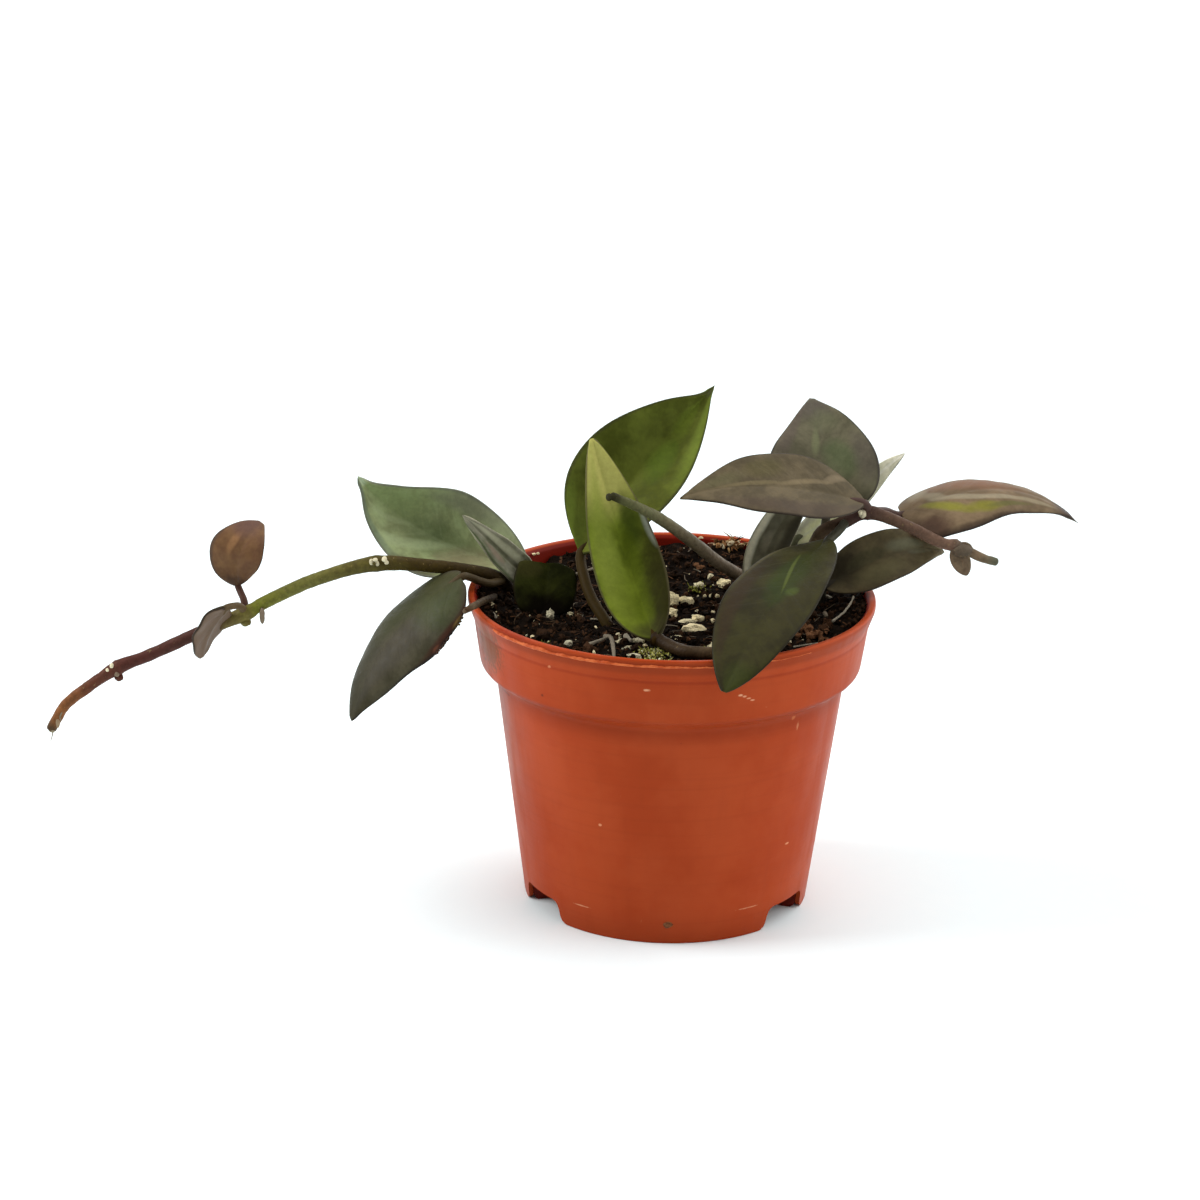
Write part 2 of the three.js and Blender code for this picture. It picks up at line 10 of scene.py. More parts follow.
import bmesh
import bpy
import numpy as np
from mathutils import Matrix, Vector, noise


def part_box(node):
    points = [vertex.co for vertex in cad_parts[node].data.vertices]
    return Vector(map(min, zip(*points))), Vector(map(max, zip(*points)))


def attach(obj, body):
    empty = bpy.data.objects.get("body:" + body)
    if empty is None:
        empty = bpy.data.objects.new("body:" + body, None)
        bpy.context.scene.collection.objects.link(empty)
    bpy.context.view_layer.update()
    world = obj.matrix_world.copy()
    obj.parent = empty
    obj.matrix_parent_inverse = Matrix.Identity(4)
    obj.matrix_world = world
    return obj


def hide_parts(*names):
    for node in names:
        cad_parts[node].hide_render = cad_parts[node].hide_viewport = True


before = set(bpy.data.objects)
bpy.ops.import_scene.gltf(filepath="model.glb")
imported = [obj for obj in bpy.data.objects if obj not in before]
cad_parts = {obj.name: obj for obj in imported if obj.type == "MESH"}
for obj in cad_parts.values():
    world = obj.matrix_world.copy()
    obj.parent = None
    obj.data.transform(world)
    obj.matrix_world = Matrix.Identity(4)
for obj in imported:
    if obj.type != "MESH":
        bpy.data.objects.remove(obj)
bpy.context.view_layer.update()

MM = 0.001
# What the random draws of each piece start from
SEEDS = dict(gate=3, crumbs=5, perlite=23, rootlets=8, moss=31, litter=77)
pot_low, pot_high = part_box("pot")
POT_PLACE = np.array([(pot_low.x + pot_high.x) / 2, (pot_low.y + pot_high.y) / 2, 0]) / MM


def add_object(name, data):
    thing = bpy.data.objects.new(name, data)
    bpy.context.scene.collection.objects.link(thing)
    return thing


# Camera: a long lens that looks down on the plant from the front

VIEW_TARGET = (-14.93, 0, 64.4)
VIEW_DISTANCE = 700
VIEW_ELEVATION = math.radians(18.64)
VIEW_ROLL = math.radians(0.9)
VIEW_FOCAL_PIXELS = 3355
FRAME_PIXELS = 1200
SENSOR_WIDTH = 36


def make_camera():
    cos, sin = math.cos(VIEW_ELEVATION), math.sin(VIEW_ELEVATION)
    level, rising = Vector((1, 0, 0)), Vector((0, sin, cos))
    right = level * math.cos(VIEW_ROLL) + rising * math.sin(VIEW_ROLL)
    up = rising * math.cos(VIEW_ROLL) - level * math.sin(VIEW_ROLL)
    back = right.cross(up)
    data = bpy.data.cameras.new("camera")
    data.sensor_width = SENSOR_WIDTH
    data.lens = SENSOR_WIDTH * VIEW_FOCAL_PIXELS / FRAME_PIXELS
    camera = add_object("camera", data)
    place = (Vector(VIEW_TARGET) + Vector(POT_PLACE) + back * VIEW_DISTANCE) * MM
    rows = [(right[i], up[i], back[i], place[i]) for i in range(3)]
    camera.matrix_world = Matrix([*rows, (0, 0, 0, 1)])
    bpy.context.scene.camera = camera


# Colours and node graphs

def rgb(text):
    """A colour such as #a05030 as linear red, green, blue and alpha."""
    parts = [int(text[i:i + 2], 16) / 255 for i in (1, 3, 5)]
    return tuple(c / 12.92 if c <= 0.04045 else ((c + 0.055) / 1.055) ** 2.4 for c in parts) + (1,)


class Graph:
    """The node tree of a new material, or of the world, with short calls for its nodes."""

    def __init__(self, name, library="materials"):
        self.owner = getattr(bpy.data, library).new(name)
        self.owner.use_nodes = True
        self.tree = self.owner.node_tree

    def put(self, value, socket):
        if isinstance(value, bpy.types.NodeSocket):
            self.tree.links.new(value, socket)
        else:
            socket.default_value = value

    def node(self, kind, *inputs, **settings):
        node = self.tree.nodes.new(kind)
        for name, value in settings.items():
            setattr(node, name, value)
        for index, value in enumerate(inputs):
            if value is not None:
                self.put(value, node.inputs[index])
        return node

    def math(self, operation, a, b=0.0, c=0.0):
        return self.node("ShaderNodeMath", a, b, c, operation=operation).outputs[0]

    def vector(self, operation, a, b=None):
        return self.node("ShaderNodeVectorMath", a, b, operation=operation).outputs[0]

    def length(self, vector):
        node = self.node("ShaderNodeVectorMath", vector, operation="LENGTH")
        return node.outputs["Value"]

    def step(self, value, low, high, to_low=0.0, to_high=1.0):
        """A smooth step from to_low, where value is low, to to_high, where it is high."""
        return self.node("ShaderNodeMapRange", value, low, high, to_low, to_high,
                         interpolation_type="SMOOTHSTEP").outputs[0]

    def blend(self, factor, a, b):
        """Colour a, or b where the factor is 1. Each may be a text such as #a05030."""
        node = self.node("ShaderNodeMix", factor, data_type="RGBA")
        for colour, socket in ((a, node.inputs[6]), (b, node.inputs[7])):
            self.put(rgb(colour) if isinstance(colour, str) else colour, socket)
        return node.outputs[2]

    def stain(self, colour, value, low, high, strength, tint):
        """The colour, tinted the more, up to strength, the nearer the value is to high."""
        return self.blend(self.step(value, low, high, 0.0, strength), colour, tint)

    def attribute(self, name):
        return self.node("ShaderNodeAttribute", attribute_name=name).outputs["Fac"]

    def place(self, stretch=(1, 1, 1)):
        """The point in millimetres, each axis divided by its stretch."""
        point = self.node("ShaderNodeTexCoord").outputs["Object"]
        return self.vector("MULTIPLY", point, tuple(1 / MM / s for s in stretch))

    def gather(self, x, y, z=None):
        return self.node("ShaderNodeCombineXYZ", x, y, z).outputs[0]

    def noise(self, point, grain, detail=3.0, roughness=0.5):
        """Noise from 0 to 1 with features about grain millimetres across."""
        node = self.node("ShaderNodeTexNoise", point)
        node.inputs["Scale"].default_value = 1 / grain
        node.inputs["Detail"].default_value = detail
        node.inputs["Roughness"].default_value = roughness
        return node.outputs["Fac"]

    def cells(self, point, grain):
        node = self.node("ShaderNodeTexVoronoi", point)
        node.inputs["Scale"].default_value = 1 / grain
        return node.outputs["Distance"]

    def ramp(self, value, stops):
        """Colours along a value: stops are pairs of place and colour, in order."""
        node = self.node("ShaderNodeValToRGB", value)
        ramp = node.color_ramp
        ramp.interpolation = "EASE"
        while len(ramp.elements) < len(stops):
            ramp.elements.new(1.0)
        for element, (position, colour) in zip(ramp.elements, stops):
            element.position = position
            element.color = rgb(colour)
        return node.outputs[0]

    def bump(self, height, depth):
        """Relief whose full height is depth millimetres."""
        node = self.node("ShaderNodeBump")
        node.inputs["Strength"].default_value = 1.0
        node.inputs["Distance"].default_value = depth * MM
        self.put(height, node.inputs["Height"])
        return node.outputs[0]

    def finish(self, colour, roughness, gloss, normal=None):
        """The material, once its shader has its colour, roughness, gloss level and relief."""
        inputs = self.tree.nodes["Principled BSDF"].inputs
        self.put(colour, inputs["Base Color"])
        self.put(roughness, inputs["Roughness"])
        inputs["Specular IOR Level"].default_value = gloss
        if normal is not None:
            self.put(normal, inputs["Normal"])
        return self.owner


# Meshes

def make_piece(name, points, faces, material, slot, node=None, attributes=None, sharp=None,
               smooth=True):
    """A mesh piece from points in millimetres. It stands for the CAD node, if one is named."""
    mesh = bpy.data.meshes.new(name)
    places = (np.asarray(points, float) + POT_PLACE) * MM
    mesh.from_pydata([tuple(place) for place in places], [], [tuple(face) for face in faces])
    mesh.materials.append(material)
    for key, values in (attributes or {}).items():
        layer = mesh.attributes.new(name=key, type="FLOAT", domain="POINT")
        layer.data.foreach_set("value", np.asarray(values, np.float32).ravel())
    mesh.polygons.foreach_set("use_smooth", [smooth] * len(mesh.polygons))
    if sharp is not None:
        mesh.set_sharp_from_angle(angle=math.radians(sharp))
    mesh.update()
    piece = add_object(name, mesh)
    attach(piece, "root")
    if node:
        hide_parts(node)
    return piece


class Bundle:
    """Points, faces and attributes of several shapes that end up in one mesh."""

    def __init__(self, *attributes):
        self.points, self.faces, self.count = [], [], 0
        self.attributes = {name: [] for name in attributes}

    def add(self, points, faces, **values):
        points = np.asarray(points, float)
        self.points.append(points)
        self.faces += [[corner + self.count for corner in face] for face in faces]
        self.count += len(points)
        for name, kept in self.attributes.items():
            kept.append(np.broadcast_to(values.get(name, 0.0), len(points)))

    def piece(self, name, material, slot, node=None, sharp=None, smooth=True):
        attributes = {key: np.concatenate(kept) for key, kept in self.attributes.items()}
        return make_piece(name, np.concatenate(self.points), self.faces, material, slot, node,
                          attributes, sharp, smooth)


def unit(vectors):
    return vectors / np.maximum(np.linalg.norm(vectors, axis=-1, keepdims=True), 1e-9)


def roughly(points, grain, seed=0.0):
    """A soft random number from about -1 to 1 for each point."""
    shift = Vector((seed, seed * 1.7, -seed))
    return np.array([noise.noise(Vector(point) / grain + shift) for point in points])


def lumpy_ball(random_stream, size, level=1, jitter=0.25, turned=True):
    """An irregular pebble: points round the origin, and faces. Size is its three half widths."""
    points, faces = BALLS[level]
    scale = 1 + jitter * (np.array([random_stream.random() for _ in points]) - 0.5) * 2
    shaped = points * scale[:, None] * np.asarray(size)
    return (shaped @ random_turn(random_stream).T if turned else shaped), faces


def random_turn(random_stream):
    """A rotation matrix from a random quaternion."""
    w, x, y, z = unit(np.array([random_stream.gauss(0, 1) for _ in range(4)]))
    return np.array([
        [1 - 2 * (y * y + z * z), 2 * (x * y - z * w), 2 * (x * z + y * w)],
        [2 * (x * y + z * w), 1 - 2 * (x * x + z * z), 2 * (y * z - x * w)],
        [2 * (x * z - y * w), 2 * (y * z + x * w), 1 - 2 * (x * x + y * y)],
    ])


def ball(level):
    """Points and faces of a round ball of triangles."""
    mesh = bmesh.new()
    bmesh.ops.create_icosphere(mesh, subdivisions=level, radius=1)
    points = np.array([vertex.co[:] for vertex in mesh.verts])
    faces = [[vertex.index for vertex in face.verts] for face in mesh.faces]
    mesh.free()
    return points, faces


BALLS = {level: ball(level) for level in (1, 2, 3)}


def smooth_route(route, steps):
    """A smooth line through the route's points. Gives its places, counted in points, too."""
    route = np.asarray(route, float)
    wide = np.vstack([2 * route[0] - route[1], route, 2 * route[-1] - route[-2]])
    places = np.linspace(0, len(route) - 1, steps + 1)
    first = np.minimum(places.astype(int), len(route) - 2)
    t = (places - first)[:, None]
    a, b, c, d = (wide[first + i] for i in range(4))
    ahead, behind = (c - a) / 2, (d - b) / 2
    line = ((2 * t ** 3 - 3 * t ** 2 + 1) * b + (t ** 3 - 2 * t ** 2 + t) * ahead
            + (3 * t ** 2 - 2 * t ** 3) * c + (t ** 3 - t ** 2) * behind)
    return line, places


TUBE_ASIDE = (0.3, 0.9, 0.2)  # no tube starts out this way
CAP_BENDS = np.radians([90, 60, 30])
CAP_REACH = 0.6
CAP_SMALLEST = 0.15


def tube(line, radii, sides, lumps=0.0, lump_grain=1.5, flat=1.0):
    """A closed tube with round ends along a line, with a radius at each of its points."""
    line, radii = np.asarray(line, float), np.asarray(radii, float)
    start, end = unit(line[0] - line[1]), unit(line[-1] - line[-2])
    caps = [(max(np.cos(bend), CAP_SMALLEST), CAP_REACH * np.sin(bend)) for bend in CAP_BENDS]
    line = np.vstack([[line[0] + start * radii[0] * out for _, out in caps], line,
                      [line[-1] + end * radii[-1] * out for _, out in reversed(caps)]])
    radii = np.concatenate([[radii[0] * wide for wide, _ in caps], radii,
                            [radii[-1] * wide for wide, _ in reversed(caps)]])
    along = unit(np.gradient(line, axis=0))
    side = np.cross(TUBE_ASIDE, along[0])
    angles = np.linspace(0, 2 * np.pi, sides, endpoint=False)
    points = []
    for centre, forward, radius in zip(line, along, radii):
        side = side - forward * (side @ forward)
        side = side / np.linalg.norm(side)
        over = np.cross(forward, side)
        ring = np.outer(np.cos(angles), side) + flat * np.outer(np.sin(angles), over)
        points.append(centre + ring * radius)
    points = np.concatenate(points)
    if lumps:
        centres = np.repeat(line, sides, axis=0)
        points += unit(points - centres) * (lumps * roughly(points, lump_grain))[:, None]
    faces = []
    for i in range(len(line) - 1):
        for j in range(sides):
            k = (j + 1) % sides
            faces.append((i * sides + j, i * sides + k, (i + 1) * sides + k, (i + 1) * sides + j))
    faces.append(tuple(reversed(range(sides))))
    faces.append(tuple(range((len(line) - 1) * sides, len(line) * sides)))
    return points, faces


# Leaves: base, middle and tip of the midrib, the way the upper face looks, the widths left
# and right of the midrib, how early and how sharply the blade tapers, and how it folds

LEAVES = {
    "leaf_round_young": dict(
        base=(-90.5, 0, 66.5), middle=(-89.5, -3, 74.7), tip=(-85.5, 3.5, 79),
        facing=(0, -0.91, 0.42), left=6.4, right=5, early=0.66, sharp=0.76, twist=4,
        folds=(3, 10), cup=-0.12, stalk_radius=0.75,
        stalk=[(-88.5, -3.5, 61.5), (-89, -2.5, 64)]),
    "leaf_curled_young": dict(
        base=(-92, -8.5, 64.3), middle=(-95.7, -8.5, 59.4), tip=(-97.5, -8, 53),
        facing=(-0.89, 0.31, 0.34), left=6, right=6.2, early=0.47, sharp=0.74, twist=3,
        folds=(15, -2), cup=-0.11, stalk_radius=0.75,
        stalk=[(-88.5, -3.5, 61.5), (-89.7, -5.7, 63.8)]),
    "leaf_left_drooping": dict(
        base=(-43.5, -4.5, 70.5), middle=(-58, -7.5, 58.2), tip=(-66, -13.5, 41.5),
        facing=(-0.49, -0.4, 0.77), left=11.2, right=11, early=0.45, sharp=0.94, twist=7,
        folds=(3, -1), cup=-0.35, frays=(-1, 0.05, 0.42, 30), stalk_radius=0.85,
        stalk=[(-35.5, 5.2, 66.7), (-38, 2.2, 66.9), (-40.4, 0.8, 68), (-42, -1.5, 69.4)]),
    "leaf_left_broad": dict(
        base=(-30, 10.7, 66.8), middle=(-52.5, 20, 72), tip=(-66.8, 14.3, 87.0),
        facing=(-0.04, -0.81, 0.59), left=12.2, right=10.9, early=0.68, sharp=1.05, twist=38,
        folds=(23, 17), cup=0.26, waist=(0.93, 0.06, 0.35), hook=(-0.4, 1.2),
        stalk=[(-26, 14.5, 58), (-27.5, 13, 63)]),
    "leaf_left_folded": dict(
        base=(-30, 7, 66), middle=(-36, 6.5, 72), tip=(-44, 6, 80.6), facing=(0.2, -0.78, 0.58),
        left=3.2, right=3.9, early=0.35, sharp=0.8, twist=0, folds=(14, 14), cup=0,
        stalk=[(-26.5, 9, 58), (-28, 8, 62.5)]),
    "leaf_left_low": dict(
        base=(-26.4, -5, 62.6), middle=(-26.3, -1.9, 67.5), tip=(-26, 0.9, 72),
        facing=(0, -0.85, 0.53), left=6.8, right=6.6, early=0.2, sharp=0.15, twist=2,
        folds=(9, 9), cup=-0.12, wave=0.1, hook=(-1.2, 0),
        stalk=[(-25, -8, 58), (-25.5, -7, 61.5)]),
    "leaf_centre_tall": dict(
        base=(-19, 3.5, 73.5), middle=(-5.5, 6, 92.7), tip=(8.3, 10.2, 108.5),
        facing=(-0.16, -0.92, 0.37), left=12.1, right=11.1, early=0.79, sharp=1.24, twist=-44,
        folds=(16, 20), cup=0.23, stalk_radius=1.15, nicks=[(-1, 0.92, 0.09, 1.1)],
        stalk=[(-9.5, -13.5, 57), (-13.2, -10.5, 62.5), (-16.4, -6, 66.2), (-18.3, -1.5, 69.8)]),
    "leaf_centre_upright": dict(
        base=(-3.6, -25.9, 65), middle=(-9.9, -13, 78.1), tip=(-17.2, -5, 101),
        facing=(0.05, -0.87, 0.49), left=7.7, right=7.4, early=0.53, sharp=0.73, twist=-21,
        folds=(17, 19), cup=0.07, stalk=[(-3.5, -25.4, 64.3)]),
    "leaf_right_front": dict(
        base=(32, -4, 79.5), middle=(20, -28, 74.5), tip=(9.6, -47.2, 61.5),
        facing=(-0.18, -0.5, 0.85), left=9.3, right=9.7, early=0.74, sharp=0.75, twist=20,
        folds=(11, 11), cup=-0.06, stalk=[(36, 4, 81.1), (34.3, 0, 80.4)]),
    "leaf_right_heart": dict(
        base=(32, 6.5, 81.8), middle=(31, 13.5, 93.5), tip=(29, 26, 101.7),
        facing=(-0.06, -0.81, 0.58), left=12.2, right=11.8, early=0.47, sharp=1.05, twist=15,
        folds=(10, 12), cup=-0.03, stalk=[(31.7, 4, 79.3)]),
    "leaf_right_inner": dict(
        base=(18.5, 6, 64), middle=(20, 3.5, 75.5), tip=(26.8, 5, 86.6),
        facing=(0.11, -0.95, 0.29), left=4.6, right=4.2, early=0.4, sharp=0.4, twist=-1,
        folds=(16, 12), cup=0, stalk=[(18, 7, 58)]),
    "leaf_right_top": dict(
        base=(39.5, 2.5, 85.6), middle=(18.5, -3.5, 90.6), tip=(1, -6, 88.5),
        facing=(-0.09, -0.55, 0.83), left=8.5, right=8.7, early=0.69, sharp=1.19, twist=1,
        folds=(9, 12), cup=-0.03, stalk=[(40.5, 4, 83.2)]),
    "leaf_right_pale": dict(
        base=(26, 12, 74.2), middle=(36.5, 16, 81), tip=(49, 24, 91), facing=(0.2, -0.9, 0.4),
        left=3.5, right=3.5, early=0.52, sharp=0.82, twist=0, folds=(12, 12), cup=0,
        hook=(0.8, 0), stalk=[(24, 13, 58), (24, 12.5, 66)]),
    "leaf_right_end": dict(
        base=(48, 12.3, 80.1), middle=(68.5, 13.2, 85.7), tip=(86, 14.5, 78.2),
        facing=(-0.02, -0.2, 0.98), left=9.9, right=10.5, early=0.31, sharp=1.22, twist=4,
        folds=(2, 2), cup=-0.33, stalk=[(40.5, 4, 83.2), (44.5, 9.4, 81.8)]),
    "leaf_right_rear": dict(
        base=(32, 3.3, 66.9), middle=(46.6, 4.7, 74.1), tip=(57.4, 9, 73.1),
        facing=(0.11, -0.7, 0.71), left=6, right=6.4, early=0.58, sharp=1.05, twist=3,
        folds=(11, 11), cup=-0.04, stalk=[(31, 5.5, 58), (31.5, 5, 64)])}

BLADE_ROWS = 110
BLADE_COLUMNS = 44
BLADE_END_GAP = 0.004
HOOK_START = 0.82
BLADE_HALF_THICKNESS = 0.48
CREASE_ROUNDING = 0.004
GROOVE_DEPTH = 0.15
GROOVE_WIDTH = 0.5
RIB_HEIGHT = 0.5
RIB_WIDTH = 0.7
RIB_SPACING = 5.0
RIB_SLANT = 0.9
QUILT_HEIGHT = 0.04
WAVE_HEIGHT = 0.25
WAVE_PACE = 17
WAVE_LAG = 1.3
FRAY_SIZES = (0.2, 0.42)
STALK_RADIUS = 0.95
STALK_SIDES = 14
STALK_LUMPS = 0.04
TIP_STALK_SIDES = 10


def fullness(leaf, along):
    """Share of the full width that the blade has at places from 0, its base, to 1, its tip."""
    early, sharp = leaf["early"], leaf["sharp"]
    widest = early / (early + sharp)
    place, spread, depth = leaf.get("waist", (1, 1, 0))
    slim = 1 - depth * np.exp(-((along - place) / spread) ** 2)
    return slim * along ** early * (1 - along) ** sharp / (widest ** early * (1 - widest) ** sharp)


def blade_axes(leaf, along):
    """The midrib's points, and the ways to the blade's right and up from its upper face."""
    base, middle, tip = (np.array(leaf[key], float) for key in ("base", "middle", "tip"))
    pull = 2 * middle - (base + tip) / 2
    t = np.asarray(along, float)[..., None]
    midrib = (1 - t) ** 2 * base + 2 * (1 - t) * t * pull + t ** 2 * tip
    forward = unit((1 - t) * (pull - base) + t * (tip - pull))
    right = unit(np.cross(forward, leaf["facing"]))
    up = np.cross(right, forward)
    hook = np.clip((t - HOOK_START) / (1 - HOOK_START), 0, 1) ** 2
    aside, lift = leaf.get("hook", (0, 0))
    midrib = midrib + hook * (aside * right + lift * up)
    turn = math.radians(leaf["twist"]) * (t - 0.5)
    return (midrib, right * np.cos(turn) + up * np.sin(turn),
            up * np.cos(turn) - right * np.sin(turn))


def blade_grid(leaf, along, across):
    """Points of the blade's middle sheet, the up way there, and how far they are out."""
    midrib, right, up = blade_axes(leaf, along)
    out = np.abs(across)
    side = np.where(across < 0, leaf["left"], leaf["right"])
    width = side * fullness(leaf, along)
    for nick_side, place, spread, depth in leaf.get("nicks", ()):
        bite = depth * np.exp(-((along - place) / spread) ** 2)
        width = width - np.where(np.sign(across) == nick_side, np.minimum(bite, width * 0.8), 0)
    fold = np.radians(np.where(across < 0, *leaf["folds"]))
    soft_out = np.sqrt(out ** 2 + CREASE_ROUNDING) - math.sqrt(CREASE_ROUNDING)
    rise = width * (soft_out * np.sin(fold) + leaf["cup"] * out ** 2)
    phase = along * WAVE_PACE + np.sign(across) * WAVE_LAG + leaf["left"]
    rise = rise + leaf.get("wave", WAVE_HEIGHT) * out ** 3 * np.sin(phase)
    points = midrib + right * (width * across * np.cos(fold))[..., None] + up * rise[..., None]
    return points, up, width * out


def blade(leaf):
    """The closed blade: its upper and lower faces share their points along the margin.

    The rows lie closer together at the base and the tip, and the columns near the margins.
    """
    s = np.linspace(0, 1, BLADE_ROWS + 1)
    along = 0.4 * s + 0.6 * (0.5 - 0.5 * np.cos(np.pi * s))
    along = BLADE_END_GAP + (1 - 2 * BLADE_END_GAP) * along
    t = np.linspace(-1, 1, BLADE_COLUMNS + 1)
    across = t * (1.35 - 0.35 * t ** 2)
    along, across = (grid.copy() for grid in np.meshgrid(along, across, indexing="ij"))
    middle, up, reach = blade_grid(leaf, along, across)
    normal = np.cross(np.gradient(middle, axis=1), np.gradient(middle, axis=0))
    normal = unit(unit(normal) * 0.98 + up * 0.02)  # the up way fills in at folded corners

    out = np.abs(across)
    half_width = np.maximum(reach[:, :1], reach[:, -1:])
    half = np.minimum(BLADE_HALF_THICKNESS, 0.5 * half_width) * np.sqrt(1 - np.minimum(out, 1) ** 8)
    length = np.linalg.norm(np.subtract(leaf["tip"], leaf["base"]))
    rib = (along * length - RIB_SLANT * reach) / RIB_SPACING
    body = np.sin(np.pi * np.clip(along, 0, 1)) ** 0.5 * (1 - out ** 4)
    quilt = QUILT_HEIGHT * np.cos(2 * np.pi * (rib - 0.5)) * body * (1 - np.exp(-reach))
    groove = -GROOVE_DEPTH * np.exp(-(reach / GROOVE_WIDTH) ** 2) * body
    ridge = RIB_HEIGHT * np.exp(-(reach / RIB_WIDTH) ** 2) * (1 - along) ** 0.7 * body
    upper = middle + normal * (half + groove + quilt)[..., None]
    lower = middle - normal * (half + ridge - quilt)[..., None]

    rows, columns = along.shape
    inner = np.zeros(along.shape, bool)
    inner[1:-1, 1:-1] = True
    below = np.arange(rows * columns).reshape(rows, columns)
    below[inner] = rows * columns + np.arange(inner.sum())
    above = np.arange(rows * columns).reshape(rows, columns)
    points = np.concatenate([upper.reshape(-1, 3), lower[inner]])
    rim = ~inner
    points[above[rim]] = middle[rim]
    faces = []
    for i in range(rows - 1):
        for j in range(columns - 1):
            faces.append((above[i, j], above[i, j + 1], above[i + 1, j + 1], above[i + 1, j]))
            faces.append((below[i, j], below[i + 1, j], below[i + 1, j + 1], below[i, j + 1]))

    def both(values):
        return np.concatenate([values.ravel(), values[inner]])

    under = np.concatenate([np.zeros(rows * columns), np.ones(inner.sum())])
    return points, faces, dict(along=both(along), across=both(across), reach=both(reach),
                               rib=both(rib), under=under)


def stalk_line(leaf):
    """The stalk's line runs from its root along the underside of the blade, as its midrib."""
    inside = np.array([0.1, 0.2, 0.32])
    midrib, _, up = blade_axes(leaf, inside)
    radius = leaf.get("stalk_radius", STALK_RADIUS)
    radii = radius * np.array([0.72, 0.5, 0.3])
    buried = midrib - up * (radii - 0.25)[:, None]
    route = [*leaf["stalk"], leaf["base"], *buried]
    line, places = smooth_route(route, (len(route) - 1) * 8)
    last_free = len(leaf["stalk"])
    stations = [0, last_free, last_free + 1, last_free + 2, last_free + 3]
    return line, np.interp(places, stations, [radius * 1.05, radius * 0.95, *radii])


def make_leaf(name, leaf, material, slot):
    bundle = Bundle("along", "across", "reach", "rib", "under", "stalk")
    points, faces, values = blade(leaf)
    bundle.add(points, faces, **values)
    bundle.add(*tube(*stalk_line(leaf), STALK_SIDES, STALK_LUMPS), stalk=1.0, under=1.0)
    side, start, end, count = leaf.get("frays", (0, 0, 0, 0))
    stream = random.Random(name)
    for _ in range(count):
        along = np.array([stream.uniform(start, end)])
        centre, _, _ = blade_grid(leaf, along, np.array([side * 1.0]))
        size = stream.uniform(*FRAY_SIZES)
        points, faces = lumpy_ball(stream, (size, size * 0.7, size * 0.6), 2, 0.3)
        bundle.add(points + centre[0], faces, along=along[0], across=side * 0.96)
    bundle.piece(name, material, slot, name)


# The looks of the leaves: a darker and a lighter colour that mingle, the underside, the veins
# and how much they show, the stalk, the margin, and soft patches on the upper face. A patch is
# its place along and across, half length and half width, slant, colour and strength

